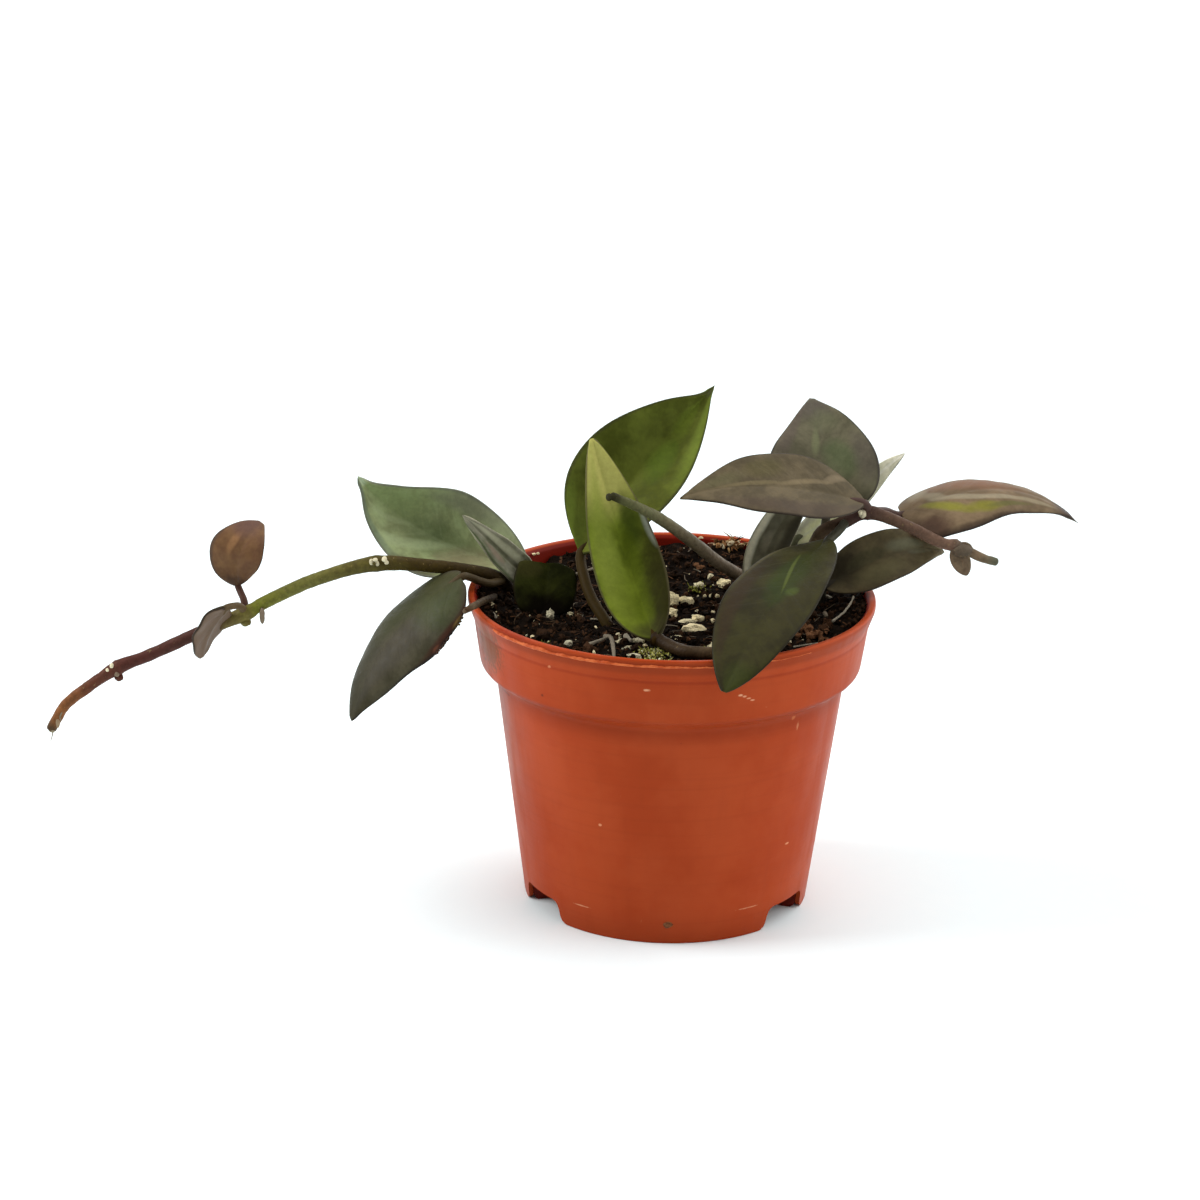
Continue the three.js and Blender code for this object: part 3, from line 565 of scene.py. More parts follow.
LOOKS = {
    "leaf_round_young": dict(
        dark="#5f422e", light="#6f5135", under="#5f463a", vein="#7f603e", stalk="#4e342a",
        margin="#322420", mid=0.12, rib=0.05, patches=[
            (0.6, -0.35, 0.18, 0.14, 0, "#8c6644", 0.8),
            (0.92, -0.4, 0.25, 0.9, 0, "#60463f", 0.8), (0.03, 0, 0.13, 1.3, 0, "#3f2d23", 0.7),
            (0.3, -1, 0.6, 0.16, 0, "#43352d", 0.8)]),
    "leaf_curled_young": dict(
        dark="#403327", light="#524135", under="#675647", vein="#594635", stalk="#5a4a33",
        margin="#282019", mid=0.1, rib=0.05, patches=[
            (0.05, -0.5, 0.25, 0.8, 0, "#40391d", 0.7), (0.5, -0.3, 0.3, 0.3, 0, "#563f31", 0.6)]),
    "leaf_left_drooping": dict(
        dark="#393525", light="#464131", under="#5b5748", vein="#4e4a36", stalk="#453823",
        margin="#201a17", mid=0.12, rib=0.03, patches=[
            (0.16, -0.35, 0.2, 0.5, 0, "#3a4420", 0.6),
            (0.32, 0.35, 0.3, 0.5, 0, "#3c4023", 0.6), (0.1, 0.1, 0.12, 0.5, 0, "#3a3a1f", 0.6),
            (0.75, 0.2, 0.25, 0.7, 0, "#403e32", 0.5), (0.6, -0.3, 0.3, 0.4, 0, "#423b32", 0.4),
            (0.25, -0.97, 0.26, 0.11, 0, "#391e13", 0.95),
            (0.36, -0.98, 0.04, 0.06, 0, "#7a4932", 0.45),
            (0.14, -0.98, 0.05, 0.07, 0, "#6d582d", 0.8)]),
    "leaf_left_broad": dict(
        dark="#80875d", light="#96a273", under="#5f6650", vein="#a5b085", stalk="#3a301e",
        margin="#656658", mid=0.1, rib=0.07, patches=[
            (0.8, 0.35, 0.26, 0.6, 0, "#94a46d", 0.6),
            (0.42, -0.05, 0.2, 0.45, 0, "#68764c", 0.6),
            (0.55, -0.43, 0.22, 0.15, -2.1, "#a8b488", 0.55),
            (0.74, -0.3, 0.18, 0.1, -2.1, "#a4af83", 0.4),
            (0.25, -0.3, 0.16, 0.45, -1, "#867c5f", 0.75),
            (0.3, 0.85, 0.3, 0.22, 0, "#7e7f6a", 0.6), (0.98, 0, 0.05, 1, 0, "#c6d5b7", 0.7),
            (0.8, -0.92, 0.25, 0.13, 0, "#69765f", 0.7),
            (0.44, 0.1, 0.03, 0.22, -1.5, "#677650", 0.25),
            # Painted shade on the lower edge, under the vine
            (0.45, -1, 0.2, 0.3, 0, "#4f4a35", 0.8)]),
    "leaf_left_folded": dict(
        dark="#61634a", light="#7d7b68", under="#6c6a5d", vein="#99957b", stalk="#2c2416",
        margin="#949078", mid=0.2, rib=0.06, patches=[
            (0.5, 0.5, 0.55, 0.24, 0, "#adad90", 0.9),
            (0.55, -0.35, 0.15, 0.25, 0.5, "#897765", 0.7),
            (0.08, 0, 0.24, 1.6, 0, "#2d2a1a", 0.95), (0.6, -0.92, 0.5, 0.16, 0, "#4c5838", 0.8)]),
    "leaf_left_low": dict(
        dark="#191b08", light="#282b0c", under="#1c2414", vein="#272307", stalk="#0e0b07",
        margin="#1c160a", mid=0.0, rib=0.0, gloss=0.02, patches=[
            # The near-black patch at the base is painted shade, where the leaf sinks into the
            # shadow on the soil
            (0.9, -0.6, 0.25, 0.5, 0, "#363418", 0.8), (0.0, 0, 0.42, 1.5, 0, "#070301", 1.0)]),
    "leaf_centre_tall": dict(
        dark="#4c511b", light="#5d6425", under="#5a6428", vein="#697030", stalk="#382c15",
        margin="#3e3d25", mid=0.1, rib=0.04, gloss=0.03, patches=[
            (0.7, -0.35, 0.12, 0.35, 0.5, "#444719", 0.4),
            (0.55, 0.25, 0.12, 0.3, 0, "#4f681b", 0.45),
            # Painted light: the yellow-green at the right edge stands for light through the leaf
            (0.78, 0.92, 0.3, 0.3, 0, "#7d8e38", 0.45),
            (0.05, -0.6, 0.12, 0.4, 0, "#576224", 0.8),
            (0.12, -0.9, 0.12, 0.2, 0, "#738232", 0.7), (0.97, 0, 0.05, 1, 0, "#464632", 0.7),
            (0.78, 0.1, 0.12, 0.35, -1, "#677626", 0.5)]),
    "leaf_centre_upright": dict(
        dark="#59651b", light="#6f7c27", under="#7e7c5e", vein="#778133", stalk="#33250f",
        margin="#4a4430", wander=0.35, gloss=0.01, mid=0.04, rib=0.03, patches=[
            (0.92, 0, 0.24, 1.6, 0, "#aca75d", 0.95), (0.5, -0.55, 0.42, 0.4, 0, "#7b8635", 0.8),
            # These two patches are painted shade: the right half in shade, and the shadow of the
            # centre vine's tip
            (0.27, 1.0, 0.5, 0.98, 0.25, "#29270f", 0.98),
            (0.64, 0.45, 0.14, 0.34, 1, "#30390f", 0.85),
            (0.2, -0.2, 0.28, 0.6, 0, "#586417", 0.6),
            (0.5, 0.15, 0.16, 0.32, 0, "#444e0f", 0.75), (0.03, 0, 0.1, 1.3, 0, "#322e1a", 0.8),
            (0.6, 1.02, 0.11, 0.2, 0, "#818477", 0.85)]),
    "leaf_right_front": dict(
        dark="#29250f", light="#343114", under="#5c5c4c", vein="#43461d", stalk="#3c3a2c",
        margin="#1f1a0e", mid=0.06, rib=0.03, patches=[
            (0.35, 0.0, 0.2, 0.4, 0, "#2c3e0f", 0.6), (0.03, 0, 0.09, 1.3, 0, "#43411f", 0.8),
            (0.25, -0.2, 0.25, 0.5, 0, "#2d2f0f", 0.55),
            (0.6, 0.75, 0.32, 0.22, 0, "#322516", 0.75),
            (0.95, -0.3, 0.1, 0.8, 0, "#374011", 0.5), (0.55, -0.5, 0.2, 0.3, 0, "#312d14", 0.6),
            (0.32, 0.1, 0.14, 0.045, -1.2, "#565f29", 0.65),
            (0.45, -0.3, 0.03, 0.16, 0.1, "#4a5921", 0.45),
            (0.2, 0.96, 0.3, 0.1, 0, "#51492c", 0.7)]),
    "leaf_right_heart": dict(
        dark="#524e3b", light="#625d48", under="#5c594a", vein="#65674d", stalk="#4c4433",
        margin="#37322f", mid=0.08, rib=0.03, patches=[
            (0.42, 0.35, 0.16, 0.35, -0.5, "#56613f", 0.6),
            (0.58, -0.1, 0.12, 0.1, 0.3, "#787e57", 0.45),
            (0.9, 0, 0.13, 1.3, 0, "#564e47", 0.65), (0.4, 0.8, 0.2, 0.25, 0, "#5b5349", 0.6),
            (0.7, -0.8, 0.25, 0.25, 0, "#5b4f47", 0.6),
            (0.75, 0.2, 0.12, 0.5, 0, "#626348", 0.5)]),
    "leaf_right_inner": dict(
        dark="#57523d", light="#6d6852", under="#5c5c50", vein="#7e795e", stalk="#3c382c",
        margin="#878169", mid=0.05, rib=0.05, patches=[
            # Painted highlight along the left edge
            (0.6, -0.92, 0.7, 0.32, 0, "#e2dbbd", 0.97),
            (0.55, -0.2, 0.1, 0.3, 0, "#817963", 0.6), (0.6, 0.8, 0.4, 0.4, 0, "#3a3526", 0.9)]),
    "leaf_right_top": dict(
        dark="#524835", light="#635741", under="#5c5244", vein="#74694a", stalk="#4a3630",
        margin="#2e2620", mid=0.05, rib=0.03, patches=[
            (0.14, 0.62, 0.06, 0.16, -5, "#7d6e56", 0.8),
            (0.3, 0.22, 0.14, 0.08, -1.15, "#7c6d52", 0.9),
            (0.58, 0.1, 0.2, 0.07, -0.12, "#76694c", 0.85),
            (0.5, 0.55, 0.12, 0.3, 0, "#5a5330", 0.5), (0.75, 0.4, 0.15, 0.3, 0, "#5c593c", 0.5),
            (0.35, -0.75, 0.45, 0.32, 0, "#4b3e33", 0.7)]),
    "leaf_right_pale": dict(
        dark="#b5b398", light="#dcd7be", under="#9a9a80", vein="#f5f5f6", stalk="#5c5c44",
        # The patch lightens the lower part: painted light against the shade it stands in
        margin="#7d7b72", mid=0.2, rib=0.05, patches=[(0.2, 0.2, 0.3, 0.8, 0, "#e6e5ad", 0.9)]),
    "leaf_right_end": dict(
        dark="#695740", light="#7c684f", under="#6c5c48", vein="#8b7f62", stalk="#4a3630",
        margin="#332b26", mid=0.0, rib=0.03, patches=[
            (0.38, -0.35, 0.27, 0.36, 0.9, "#76533e", 0.8),
            (0.1, -0.55, 0.05, 0.38, 0, "#968a71", 0.85),
            (0.17, -0.08, 0.06, 0.2, 3, "#968a71", 0.8),
            (0.31, 0.2, 0.14, 0.1, 1.3, "#968a71", 0.8),
            (0.5, 0.36, 0.15, 0.1, 0.6, "#968a71", 0.8),
            (0.72, 0.47, 0.16, 0.13, 0.4, "#918469", 0.8),
            (0.21, 0.34, 0.12, 0.15, 2.2, "#827f2e", 0.9),
            (0.4, 0.6, 0.13, 0.16, 0.6, "#7a7629", 0.9),
            (0.55, 0.64, 0.13, 0.1, 0.2, "#5f5c32", 0.8),
            (0.1, 0.75, 0.12, 0.3, 0, "#4b362a", 0.9),
            (0.35, 1.0, 0.4, 0.14, 0, "#3c2e24", 0.85), (0.94, 0, 0.14, 1.5, 0, "#3d312c", 0.95)]),
    "leaf_right_rear": dict(
        dark="#4e4430", light="#60563c", under="#3c3a2c", vein="#68674d", stalk="#38332a",
        margin="#39322d", mid=0.05, rib=0.05, patches=[
            (0.6, -0.3, 0.16, 0.3, 0, "#75755e", 0.55),
            (0.08, -0.3, 0.22, 0.9, 0, "#2a2519", 0.85),
            (0.8, -0.8, 0.16, 0.3, 0, "#694634", 0.6),
            (0.72, 0.15, 0.12, 0.2, 0.3, "#75755e", 0.5),
            (0.35, 0.5, 0.2, 0.4, 0, "#605a3c", 0.6), (0.3, -0.2, 0.15, 0.3, 0, "#403d27", 0.6)])}

SLOT_OF_LEAF = {
    "leaf_round_young": "leaf_young", "leaf_curled_young": "leaf_young",
    "leaf_centre_tall": "leaf_green", "leaf_centre_upright": "leaf_green",
    "leaf_right_pale": "leaf_green"}


def leaf_material(name, look):
    graph = Graph(name)
    along, across = graph.attribute("along"), graph.attribute("across")
    reach, rib = graph.attribute("reach"), graph.attribute("rib")
    under, stalk = graph.attribute("under"), graph.attribute("stalk")
    point = graph.place()
    cloud = graph.noise(point, 6, 3, 0.55)
    fine = graph.noise(point, 0.9, 4, 0.6)
    ribs = graph.gather(graph.math("MULTIPLY", rib, RIB_SPACING),
                        graph.math("MULTIPLY", reach, 0.3), graph.math("MULTIPLY", across, 5))
    streaks = graph.noise(ribs, 2.2, 3, 0.55)
    mix = graph.math("MULTIPLY_ADD", streaks, 0.3, graph.math("MULTIPLY", cloud, 0.7))
    colour = graph.blend(graph.step(mix, 0.38, 0.62), look["dark"], look["light"])

    wide = look.get("wander", 0.9)
    wander = graph.math("MULTIPLY_ADD", graph.noise(point, 3, 3), wide, -wide / 2)
    for centre, middle, half_length, half_width, slant, tint, strength in look["patches"]:
        x = graph.math("SUBTRACT", along, centre)
        y = graph.math("SUBTRACT", graph.math("SUBTRACT", across, middle),
                       graph.math("MULTIPLY", x, slant))
        x = graph.math("DIVIDE", x, half_length)
        y = graph.math("DIVIDE", y, half_width)
        far = graph.math("MULTIPLY_ADD", x, x, graph.math("MULTIPLY", y, y))
        far = graph.math("ADD", far, wander)
        colour = graph.stain(colour, far, 1.5, 0.0, strength, tint)

    out = graph.math("ABSOLUTE", across)
    wobble = graph.math("MULTIPLY_ADD", graph.noise(point, 5, 2), 0.5, rib)
    part = graph.math("ABSOLUTE", graph.math("SUBTRACT", graph.math("FRACT", wobble), 0.5))
    side_vein = graph.math("MULTIPLY", graph.step(part, 0.12, 0.0), graph.step(out, 0.95, 0.5))
    mid_vein = graph.step(reach, 0.6, 0.1)
    vein = graph.math("MAXIMUM", graph.math("MULTIPLY", side_vein, look["rib"]),
                      graph.math("MULTIPLY", mid_vein, look["mid"]))
    colour = graph.blend(vein, colour, look["vein"])

    back = graph.blend(graph.math("MULTIPLY", side_vein, 0.1), look["under"], look["vein"])
    colour = graph.blend(under, colour, back)
    colour = graph.stain(colour, out, 0.93, 0.99, 0.8, look["margin"])
    colour = graph.blend(stalk, colour, look["stalk"])
    shade = graph.step(graph.math("MULTIPLY_ADD", fine, 0.6, graph.math("MULTIPLY", cloud, 0.4)),
                       0.3, 0.7, 0.88, 1.1)
    colour = graph.vector("MULTIPLY", colour, graph.gather(shade, shade, shade))

    roughness = graph.step(fine, 0.3, 0.7, 0.42, 0.58)
    relief = graph.math("MULTIPLY_ADD", side_vein, -0.15, graph.math("MULTIPLY", fine, 0.4))
    relief = graph.bump(graph.math("MULTIPLY_ADD", streaks, 0.4, relief), 0.12)
    return graph.finish(colour, roughness, look.get("gloss", 0.1), relief)


def make_leaves():
    for name, leaf in LEAVES.items():
        material = leaf_material(name, LOOKS[name])
        make_leaf(name, leaf, material, SLOT_OF_LEAF.get(name, "leaf_dark"))


# Stems: centre lines from the root outwards, with the places of their thick nodes

NODE_SWELLING = 0.28
NODE_SPREAD = 0.35
RIDGE_HEIGHT = 0.12
RIDGE_SPREAD = 0.06
STEM_SIDES = 20
STEM_STEPS = 14
STEM_LUMPS = 0.09
KNOB_LUMPS = 0.14
TIP_LEAF_TONE = 0.86  # the place along the stem whose colour the tip leaves take
TIP_STALK_TONE = 0.84
STEMS = {
    "vine_left": dict(
        radius=1.4, tip_radius=1.05, nodes=[6, 10, 13], knobs=[
            ((-85, -4.6, 61.3), (0.6, 0.6, 1.8), 0.2, 0.68),
            ((-88.6, -3.8, 59.7), (1.2, 1, 1), 0.0), ((-115, -6, 47.8), (1, 0.9, 0.9), 0.0)],
        route=[
            (-33, 12, 56), (-34, 9.5, 61.5), (-34.8, 7, 65), (-36.5, 5.3, 67.2),
            (-40, 4.5, 68.5), (-48.5, 2.5, 70.3), (-61.5, -0.5, 71.8), (-73, -2, 69),
            (-80, -2.5, 66), (-85.5, -3, 63.2), (-88.5, -3.5, 61.5), (-98, -4, 57.3),
            (-108.5, -5, 52.5), (-115, -6, 50), (-121, -6.5, 46), (-126, -7, 42),
            (-128.5, -7, 38), (-129.3, -7, 36.5)],
        colours=[
            (0.0, "#1a120a"), (0.2, "#33260f"), (0.32, "#40330f"), (0.37, "#5a5226"),
            (0.43, "#6d6a34"), (0.54, "#6f7126"), (0.59, "#6b6230"), (0.64, "#4d2f28"),
            (0.74, "#512c25"), (0.8, "#5a3325"), (0.9, "#80502c"), (1.0, "#4f3a26")]),
    "vine_right": dict(
        radius=1.35, tip_radius=0.85, nodes=[8, 11], knobs=[
            ((39.3, 2.6, 83.3), (0.8, 0.8, 0.9), 0.7), ((60.2, 0.6, 76.2), (2.2, 1.5, 1.5), 0.0)],
        route=[
            (26.5, 7, 56), (27, 6.5, 61.5), (27.8, 5.5, 66.5), (28.5, 5, 70.3),
            (29.2, 4.2, 74.3), (30, 4, 77), (31.7, 4, 79.3), (36, 4, 81.1), (40.5, 4, 83.2),
            (48, 3, 81), (55.5, 2, 77.6), (58.7, 1.5, 77), (61.5, 1, 76), (64.3, 0, 74.9),
            (67.2, 0, 74.1)],
        colours=[
            (0.0, "#3a3022"), (0.3, "#57492f"), (0.45, "#4c3a2a"), (0.55, "#46302b"),
            (0.62, "#5f483a"), (0.75, "#745949"), (0.82, "#5d5143"), (0.9, "#7b6750"),
            (1.0, "#5a5a48")]),
    "vine_centre": dict(
        radius=1.4, tip_radius=0.8, nodes=[], knobs=[], route=[
            (20.5, 21, 56), (18, 17.5, 61.5), (15.2, 13, 65.5), (9.6, 5, 71.5),
            (3.4, -4.5, 79.3), (-3, -12.5, 86.2), (-7.2, -16, 89.5), (-12.8, -17.5, 92.4)],
        colours=[
            (0.0, "#4a3f30"), (0.3, "#7a6a55"), (0.45, "#7d6e59"), (0.6, "#6f644c"),
            (0.8, "#636243"), (0.94, "#585936"), (1.0, "#2e2d16")]),
    "vine_front": dict(
        radius=1.3, tip_radius=1.3, nodes=[0], knobs=[], route=[
            (-3.5, -25, 64.8), (-1, -27.5, 64.3), (2.2, -31, 64.3), (5.2, -31.8, 64.3),
            (8.6, -32, 64), (12, -31.5, 61.5), (14, -30.5, 57)],
        colours=[(0.0, "#2a1d0e"), (0.35, "#3c2d1c"), (0.6, "#5c4a33"), (1.0, "#5a4730")]),
    "stub_left": dict(
        radius=0.78, tip_radius=0.6, nodes=[], knobs=[], route=[
            (-35, 9, 57), (-36.4, 5.5, 62.5), (-37.7, -4, 65.7), (-39.6, -14.2, 68.1),
            (-41, -18, 68.5), (-42.1, -19.4, 68.3)],
        colours=[
            (0.0, "#1a130b"), (0.4, "#2e251a"), (0.6, "#453828"), (0.8, "#5d4c38"),
            (1.0, "#4a3420")])}


def stem_radius(stem, places):
    last = len(stem["route"]) - 1
    radii = stem["radius"] + (stem["tip_radius"] - stem["radius"]) * (places / last) ** 3
    for node in stem["nodes"]:
        radii = radii + NODE_SWELLING * np.exp(-((places - node) / NODE_SPREAD) ** 2)
        radii = radii + RIDGE_HEIGHT * np.exp(-((places - node) / RIDGE_SPREAD) ** 2)
    return radii


def stem_material(name, stem):
    graph = Graph(name)
    along, scar = graph.attribute("along"), graph.attribute("scar")
    point = graph.place()
    streak = graph.noise(point, 1.2, 4, 0.6)
    cloud = graph.noise(point, 5, 2, 0.5)
    shifted = graph.math("MULTIPLY_ADD", cloud, 0.05, graph.math("SUBTRACT", along, 0.025))
    colour = graph.ramp(shifted, stem["colours"])
    colour = graph.stain(colour, streak, 0.35, 0.7, 0.35, "#2c2018")
    pale = graph.noise(point, 0.7, 2)
    colour = graph.stain(colour, pale, 0.66, 0.74, 0.4, "#8a744c")
    colour = graph.blend(scar, colour, "#d9cfae")
    relief = graph.bump(graph.math("ADD", streak, graph.noise(point, 0.5, 3)), 0.14)
    roughness = graph.step(streak, 0.3, 0.7, 0.42, 0.6)
    return graph.finish(colour, roughness, 0.08, relief)


# Small pale stubs where leaves have broken off, on the stems: place, half widths and tone
SCARS = {
    "vine_left": [
        ((-62.4, -2.0, 72.5), (0.5, 0.45, 0.75), 0.8),
        ((-61.6, -2.3, 73.2), (0.55, 0.4, 0.4), 0.95),
        ((-61.8, -2.7, 72.4), (0.35, 0.3, 0.35), 0.0),
        ((-61.2, -2.1, 72.3), (0.4, 0.4, 0.6), 0.8),
        ((-59.7, -2.2, 73.3), (0.6, 0.55, 0.6), 1.0),
        ((-59.3, -2.1, 72.6), (0.45, 0.4, 0.5), 0.9),
        ((-38.3, 3.0, 66.9), (0.6, 0.5, 0.6), 0.55),
        ((-117.1, -7.0, 49.6), (0.5, 0.4, 0.5), 0.95),
        ((-116.2, -7.0, 50.6), (0.5, 0.4, 0.55), 1.0),
        ((-115.2, -7.2, 49.0), (0.6, 0.5, 0.7), 0.2),
        ((-129.1, -7.3, 36.3), (0.75, 0.7, 0.6), 0.3),
        ((-127.8, -7.8, 38.2), (0.5, 0.4, 1.2), 0.25)],
    "vine_right": [((38.9, 2.2, 83.6), (0.55, 0.45, 0.6), 1.0)],
    "vine_centre": [((-13.4, -17.7, 92.2), (0.7, 0.8, 0.8), 0.0)],
    "stub_left": [((-42.3, -19.6, 68.1), (0.5, 0.45, 0.5), 0.05)]}

# Fine dry hairs and rootlets on the stems: route and radius
STEM_HAIRS = {
    "vine_left": [
        ([(-128.9, -7.2, 36.2), (-129.2, -7.6, 34.8), (-129.5, -7.6, 33.9)], 0.16),
        ([(-128.6, -7.0, 36.8), (-129.6, -7.4, 37.0)], 0.14),
        ([(-126.6, -7.9, 41.0), (-127.2, -8.3, 39.6), (-127.0, -8.3, 38.6)], 0.2)]}

TIP_LEAVES = [
    dict(
        base=(58.6, 1.2, 77), middle=(60, 0, 74), tip=(61.2, -1, 71.3), facing=(-0.3, -0.8, 0.5),
        left=2.1, right=2.1, early=0.5, sharp=0.7, twist=0, folds=(12, 12), cup=0, wave=0,
        stalk_radius=0.6, stalk=[(58.7, 1.5, 77)]),
    dict(
        base=(59.2, 1.4, 76.3), middle=(60.9, 1.0, 76.9), tip=(62.5, 0.5, 75.9),
        facing=(0, -0.9, 0.4), left=1.1, right=1.1, early=0.5, sharp=0.8, twist=0,
        folds=(10, 10), cup=0, wave=0, stalk_radius=0.5, stalk=[(58.7, 1.5, 77)])]


def make_stem(name, stem):
    """A stem with its knobs, scars, hairs and tip leaves.

    A knob may end with the place along the stem whose colour it takes.
    """
    stream = random.Random(name)
    bundle = Bundle("along", "scar")
    last = len(stem["route"]) - 1
    line, places = smooth_route(stem["route"], last * STEM_STEPS)
    points, faces = tube(line, stem_radius(stem, places), STEM_SIDES, STEM_LUMPS)
    rings = np.arange(len(points)) // STEM_SIDES - len(CAP_BENDS)
    bundle.add(points, faces, along=np.clip(rings, 0, len(line) - 1) / (len(line) - 1))
    for centre, size, tone, *tint in [*stem["knobs"], *SCARS.get(name, [])]:
        points, faces = BALLS[3]
        shaped = points * np.asarray(size)
        lumps = KNOB_LUMPS * roughly(shaped, 0.6, stream.random())
        shaped = shaped + unit(shaped) * lumps[:, None]
        gap = np.linalg.norm(line - np.array(centre), axis=1)
        near = tint[0] if tint else places[gap.argmin()] / last
        bundle.add(shaped + centre, faces, along=near, scar=tone)
    for route, radius in STEM_HAIRS.get(name, []):
        hair, _ = smooth_route(route, 10)
        radii = np.linspace(radius, radius * 0.4, len(hair))
        bundle.add(*tube(hair, radii, 6), along=1.0, scar=0.2)
    if name == "vine_right":
        for leaf in TIP_LEAVES:
            bundle.add(*blade(leaf)[:2], along=TIP_LEAF_TONE)
            bundle.add(*tube(*stalk_line(leaf), TIP_STALK_SIDES), along=TIP_STALK_TONE)
    bundle.piece(name, stem_material(name, stem), "stem", name)


def make_stems():
    for name, stem in STEMS.items():
        make_stem(name, stem)


# Pot: a thin moulded cup with a tall collar, a rolled lip and three feet

POT_HEIGHT = 66.2
POT_WALL = 1.0
FOOT_RADIUS = 30.1
BODY_TOP_RADIUS = 36.6
BODY_TOP_Z = 49.7
COLLAR_BOTTOM_RADIUS = 40.1
COLLAR_BOTTOM_Z = 52.4
COLLAR_TOP_RADIUS = 41.2
COLLAR_TOP_Z = 64.7
LIP_RADIUS = 42.5
FLARE_Z = 61.4
FLOOR_Z = 5.0
FLOOR_THICKNESS = 1.2
POT_SEGMENTS = 192
ARCH_AZIMUTHS = [-150.0, -34.4, 87.6]
# One side of an arched gap in the skirt, as half width and height, from the foot upwards
ARCH_FLANK = [
    (9.0, 0), (8.0, 0.2), (7.2, 0.7), (6.8, 1.5), (6.6, 3), (6.3, 4), (5.8, 4.6), (4.9, 4.9)]
ARCH_END = 13.6  # degrees from a gap's middle to the foot walls beside it
# The side view of a wall that closes a foot, as distance from the axis and height
FOOT_WALL = [
    (22.5, 0.5), (23.0, 0.05), (28.3, 0.05), (28.9, 0.5), (29.3, 1.8), (29.3, FLOOR_Z + 0.3),
    (22.5, FLOOR_Z + 0.3)]
FOOT_WALL_THICKNESS = 1.0
DRAIN_COUNT = 6
DRAIN_RADIUS = 2.5
DRAIN_CIRCLE = 18
DRAIN_SIDES = 24
DRAIN_MARGIN = 1
POT_SHARP = 50
RING_RADIUS = 28.8
RING_WALL = 1.0
RING_BOTTOM_Z = 3.9
# The moulding thread under the lip: its azimuths and how strong it is there
FLASH_STRENGTH = [(-149, 0.6), (-146, 1.5), (-116, 1.4), (-98, 1.0), (-80, 0.7), (-50, 0.3)]
FLASH_STEPS = 260
GATE_PLACE = (0.1, -30.6, 4.5)


def body_radius(z):
    return FOOT_RADIUS + (BODY_TOP_RADIUS - FOOT_RADIUS) * z / BODY_TOP_Z


def corner(before, at, after, radius, steps=4):
    """Points of an outline that turn the corner at a point in a smooth bend."""
    before, at, after = (np.array(point, float) for point in (before, at, after))
    start = at + unit(before - at) * radius
    end = at + unit(after - at) * radius
    t = np.linspace(0, 1, steps + 1)[:, None]
    return [tuple(p) for p in (1 - t) ** 2 * start + 2 * t * (1 - t) * at + t ** 2 * end]


def rounded(outline, radii):
    """The outline with each inner corner rounded by its radius. Its two ends stay."""
    points = [outline[0]]
    for i, radius in enumerate(radii, start=1):
        points += corner(outline[i - 1], outline[i], outline[i + 1], radius)
    return points + [outline[-1]]


def pot_outline():
    floor_top = FLOOR_Z + FLOOR_THICKNESS
    inner_collar = COLLAR_TOP_RADIUS - POT_WALL
    outline = [
        (0, FLOOR_Z), (body_radius(FLOOR_Z) - POT_WALL, FLOOR_Z), (FOOT_RADIUS - POT_WALL, 0),
        (FOOT_RADIUS, 0), (BODY_TOP_RADIUS, BODY_TOP_Z),
        (COLLAR_BOTTOM_RADIUS - 0.3, COLLAR_BOTTOM_Z - 0.6), (COLLAR_TOP_RADIUS, FLARE_Z),
        (LIP_RADIUS, COLLAR_TOP_Z + 0.3), (LIP_RADIUS, POT_HEIGHT),
        (inner_collar + 1.2, POT_HEIGHT - 0.05), (inner_collar + 0.4, POT_HEIGHT - 0.9),
        (COLLAR_BOTTOM_RADIUS - 0.9, COLLAR_BOTTOM_Z + 0.4),
        (BODY_TOP_RADIUS - POT_WALL, BODY_TOP_Z + 0.5),
        (body_radius(floor_top) - POT_WALL, floor_top), (0, floor_top),
    ]
    radii = [0.3, 0.15, 0.25, 1.3, 0.9, 0.25, 0.3, 0.4, 0.3, 0.3, 0.6, 0.8, 0.5]
    return rounded(outline, radii)


def lathe(outline, segments):
    """A closed body of revolution. The outline starts and ends on the axis."""
    inner = outline[1:-1]
    angles = np.linspace(0, 2 * np.pi, segments, endpoint=False)
    points = [(0, 0, outline[0][1])]
    for r, z in inner:
        points += [(r * math.cos(a), r * math.sin(a), z) for a in angles]
    points.append((0, 0, outline[-1][1]))
    faces = []
    last = len(points) - 1
    end = 1 + (len(inner) - 1) * segments
    for j in range(segments):
        k = (j + 1) % segments
        faces.append((0, 1 + k, 1 + j))
        faces.append((last, end + j, end + k))
        for i in range(len(inner) - 1):
            a, b = 1 + i * segments, 1 + (i + 1) * segments
            faces.append((a + j, a + k, b + k, b + j))
    return np.array(points), faces


def block(azimuth, ends):
    """A block at an azimuth. Its two ends are loops of points: out, aside and height."""
    turn = math.radians(azimuth)
    cos, sin = math.cos(turn), math.sin(turn)
    points = [(cos * out - sin * aside, sin * out + cos * aside, z)
              for end in ends for out, aside, z in end]
    n = len(ends[0])
    faces = [tuple(range(n)), tuple(range(2 * n - 1, n - 1, -1))]
    faces += [(i, i + n, (i + 1) % n + n, (i + 1) % n) for i in range(n)]
    return points, faces


def arch_tool(azimuth):
    """A block that cuts one arched gap out of the skirt."""
    flank = [(ARCH_FLANK[0][0], -2), *ARCH_FLANK]
    profile = [(-x, z) for x, z in flank] + flank[::-1]
    return block(azimuth, [[(reach, x, z) for x, z in profile]
                           for reach in (FOOT_RADIUS * 0.8, FOOT_RADIUS * 1.2)])


def foot_wall(azimuth):
    """A wall that closes a hollow foot of the skirt, beside a gap."""
    return block(azimuth, [[(reach, x, z) for reach, z in FOOT_WALL]
                           for x in (-FOOT_WALL_THICKNESS / 2, FOOT_WALL_THICKNESS / 2)])


